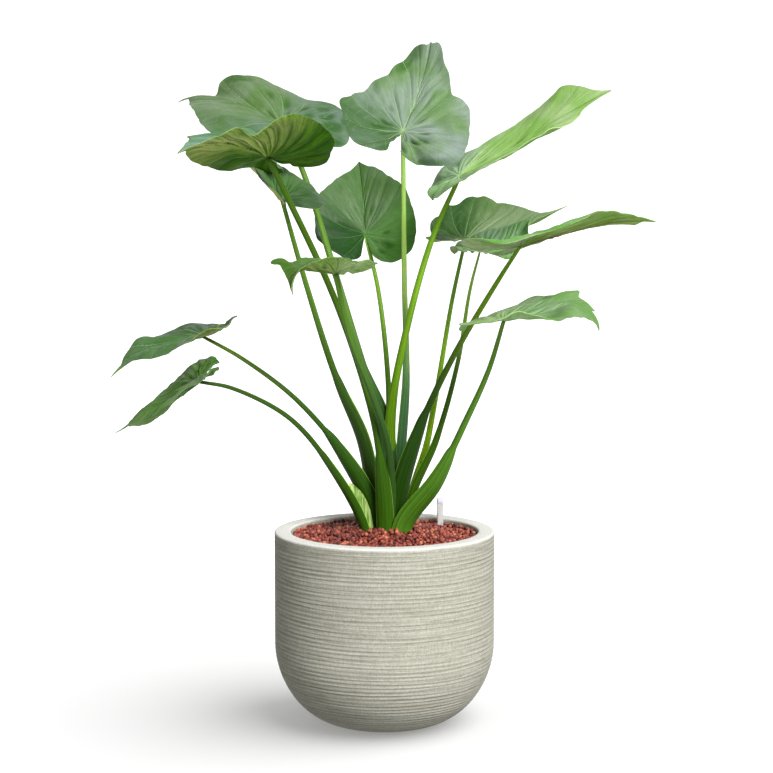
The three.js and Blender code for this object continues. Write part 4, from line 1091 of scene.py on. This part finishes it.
def planter_material():
    """Pale cement with fine lines and crests painted paler as a highlight, stained and speckled, and plainer
    on the rim's top.
    """
    m = Material("planter")

    def grain(scale, detail, roughness):
        return m.noise(1.0, detail, m.stretched(m.place(), scale), roughness)

    lines = grain((9.0, 9.0, 420.0), 2.0, 0.5)
    weave = grain((420.0, 420.0, 520.0), 3.0, 0.7)
    stain = grain((22.0, 22.0, 520.0), 3.0, 0.6)
    thread = grain((640.0, 640.0, 110.0), 2.0, 0.6)
    colour = m.mix(m.fade(lines, 0.25, 0.75), (0.268, 0.262, 0.212), (0.352, 0.346, 0.294))
    # Painted highlight: the ridges' crests are mixed towards a pale grey
    crest_highlight = m.fade(m.attribute("groove"), 0.3, 0.0)
    colour = m.mix(m.times(crest_highlight, 0.26), colour, (0.55, 0.545, 0.49))
    colour = m.mix(m.fade(stain, 0.50, 0.72, 0.0, 0.55), colour, (0.165, 0.150, 0.112))
    colour = m.vary(0.35, colour, m.fade(thread, 0.3, 0.7), (0.72, 0.72, 0.70), (1.22, 1.22, 1.22))
    colour = m.vary(0.45, colour, m.fade(weave, 0.3, 0.7), (0.70, 0.70, 0.68), (1.28, 1.28, 1.28))
    colour = m.vary(0.3, colour, m.noise(9.0, 3.0), (0.8, 0.8, 0.74), (1.2, 1.2, 1.2))
    top = m.fade(m.parts(m.place())[2], POT_HEIGHT - 0.0035, POT_HEIGHT - 0.0006)
    pale = m.mix(m.fade(weave, 0.3, 0.7), (0.52, 0.515, 0.48), (0.64, 0.635, 0.61))
    colour = m.mix(m.times(top, 0.85), colour, pale)
    normal = m.bump(weave, 0.0005, 0.6, m.bump(lines, 0.0010, 0.7))
    return m.finish(Base_Color=colour, Roughness=0.9, Normal=normal, Specular_IOR_Level=0.2)


def granule_material(name, dark):
    m = Material(name)
    grain = m.noise(1100.0, 3.0, None, 0.6)
    # The bed's colour is near black, painted shade between the granules
    if dark:
        colour = m.mix(m.noise(300.0, 2.0), (0.008, 0.003, 0.003), (0.04, 0.012, 0.010))
    else:
        tint = m.attribute("tint", "Color")
        colour = m.vary(0.6, tint, m.fade(grain, 0.3, 0.7), (0.55, 0.5, 0.5), (1.35, 1.4, 1.4))
    normal = m.bump(grain, 0.0007, 0.7)
    return m.finish(Base_Color=colour, Roughness=0.55, Normal=normal, Specular_IOR_Level=0.35)


def gauge_material():
    """Cloudy plastic with two small yellow marks."""
    m = Material("gauge")
    mottle = m.noise(200.0, 2.0)
    colour = m.mix(mottle, (0.52, 0.52, 0.56), (0.62, 0.62, 0.66))
    height = m.parts(m.place())[2]
    for mark in GAUGE_MARKS:
        away = m.math("ABSOLUTE", m.math("SUBTRACT", height, mark))
        colour = m.mix(m.times(m.math("LESS_THAN", away, 0.0007), 0.45), colour, (0.75, 0.66, 0.10))
    return m.finish(Base_Color=colour, Roughness=0.2, Normal=m.bump(mottle, 0.0003, 0.2), Alpha=0.72)


def plain_material(name, low, high, roughness, scale=300.0):
    """One colour with a faint mottle."""
    m = Material(name)
    mottle = m.noise(scale, 2.0)
    normal = m.bump(mottle, 0.0003, 0.2)
    return m.finish(Base_Color=m.mix(mottle, low, high), Roughness=roughness, Normal=normal)


MATERIALS = {
    "blade_top": blade_material("blade_top", 0.54, 0.55, 0.10, 0.25, 0.25),
    "blade_under": blade_material("blade_under", 0.60, 0.85, 0.2, 0.12, 0.6),
    "stalk": stalk_material(),
    "scale_leaf": scale_leaf_material(),
    "planter": planter_material(),
    "granules": granule_material("granules", False),
    "bed": granule_material("granule_gaps", True),
    "gauge": gauge_material(),
    "cap": plain_material("gauge_cap", (0.46, 0.44, 0.58), (0.60, 0.58, 0.72), 0.4),
    "float": plain_material("float", (0.72, 0.72, 0.40), (0.82, 0.80, 0.50), 0.35),
    "rootstock": plain_material("rootstock", (0.10, 0.05, 0.02), (0.24, 0.14, 0.07), 0.8, 60.0),
}

# Pieces

for leaf in LEAVES:
    blade_object(leaf)
    stalk_object(leaf)
scale_leaf_object()
pot_object()
granule_layer()
granule_bed()
gauge_objects()
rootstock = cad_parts["rootstock"]
rootstock.data.materials.clear()
rootstock.data.materials.append(MATERIALS["rootstock"])

# Stage, light and camera

PLANT_PIECES = [kind + leaf.name for leaf in LEAVES for kind in ("leaf_", "stem_")]
FLOOR_FRONT, FLOOR_BACK, FLOOR_SIDE = -3.0, 2.0, 5.0
FLOOR_BEND, BACKDROP_TOP = 1.5, 5.0
KEY_LIGHT = (31, 37, 5.9, 28)  # azimuth right of the front, elevation, power, and width in degrees
FLOOR_LIGHT = (70, 50, 2.7, 70)
BOUNCE_LIGHT = (-20, -48, 1.3, 60)
TOP_LIGHT = (150, 75, 10, 2.0)  # a panel, its width in metres
LIGHT_AIM, LIGHT_DISTANCE = 0.4, 3.0
WORLD_STRENGTH = 0.42


def stage_object():
    """A pale floor that curves up into a backdrop, which glows softly from behind the plant on."""
    profile = [(FLOOR_FRONT, 0.0), (FLOOR_BACK, 0.0)]
    for t in np.linspace(0, np.pi / 2, 17)[1:]:
        profile.append((FLOOR_BACK + FLOOR_BEND * math.sin(t), FLOOR_BEND - FLOOR_BEND * math.cos(t)))
    profile.append((FLOOR_BACK + FLOOR_BEND, BACKDROP_TOP))
    points = [(x, y, z) for y, z in profile for x in (-FLOOR_SIDE, FLOOR_SIDE)]
    faces = [(2 * k, 2 * k + 1, 2 * k + 3, 2 * k + 2) for k in range(len(profile) - 1)]
    made = new_object("floor", points, faces)
    m = Material("floor")
    colour = m.mix(m.noise(3.0, 2.0), (0.755, 0.755, 0.755), (0.775, 0.775, 0.775))
    glow = m.fade(m.parts(m.place())[1], 0.25, 1.2, 0.2, 0.7)
    finished = m.finish(
        Base_Color=colour, Roughness=0.95, Specular_IOR_Level=0.1,
        Emission_Color=(1, 1, 1, 1), Emission_Strength=glow,
    )
    made.data.materials.append(finished)
    made.visible_diffuse = False


def aimed_light(name, azimuth, elevation, power, width, kind="SUN"):
    """A light that shines on the plant's middle."""
    turn, up = math.radians(azimuth), math.radians(elevation)
    data = bpy.data.lights.new(name, kind)
    data.energy = power
    if kind == "SUN":
        data.angle = math.radians(width)
    else:
        data.size = width
    made = linked(name, data)
    away = (math.sin(turn) * math.cos(up), -math.cos(turn) * math.cos(up), math.sin(up))
    x, y, z = (LIGHT_DISTANCE * part for part in away)
    made.location = (x, y, LIGHT_AIM + z)
    made.rotation_euler = (math.pi / 2 - up, 0, turn)
    return made


def link_light(light, kind, state, names):
    """The named objects are the light's only blockers or receivers, or the only ones left out."""
    linked = bpy.data.collections.new(f"{light.name}_{kind}")
    for name in names:
        linked.objects.link(bpy.data.objects[name])
    setattr(light.light_linking, kind + "_collection", linked)
    for member in linked.collection_objects:
        member.light_linking.link_state = state


def camera_object():
    data = bpy.data.cameras.new("camera")
    data.sensor_width = SENSOR
    data.lens = FOCAL_PIXELS * SENSOR / PICTURE
    made = linked("camera", data)
    made.location = CAMERA_PLACE
    made.rotation_euler = (math.radians(90 - CAMERA_DOWN), 0, 0)
    bpy.context.scene.camera = made


stage_object()
key = aimed_light("key", *KEY_LIGHT)
link_light(key, "blocker", "EXCLUDE", ["leaf_a"])
link_light(key, "receiver", "EXCLUDE", ["floor"])
floor_light = aimed_light("floor_light", *FLOOR_LIGHT)
link_light(floor_light, "blocker", "EXCLUDE", PLANT_PIECES)
link_light(floor_light, "receiver", "INCLUDE", ["floor"])
bounce = aimed_light("bounce", *BOUNCE_LIGHT)
link_light(bounce, "blocker", "EXCLUDE", ["floor"])
link_light(bounce, "receiver", "EXCLUDE", ["floor", "planter", "granule_layer"])
aimed_light("top", *TOP_LIGHT, "AREA")
camera_object()
world = bpy.data.worlds.new("studio")
bpy.context.scene.world = world
world.use_nodes = True
world.node_tree.nodes["Background"].inputs["Color"].default_value = (1, 1, 1, 1)
world.node_tree.nodes["Background"].inputs["Strength"].default_value = WORLD_STRENGTH
bpy.context.scene.view_settings.view_transform = "Standard"
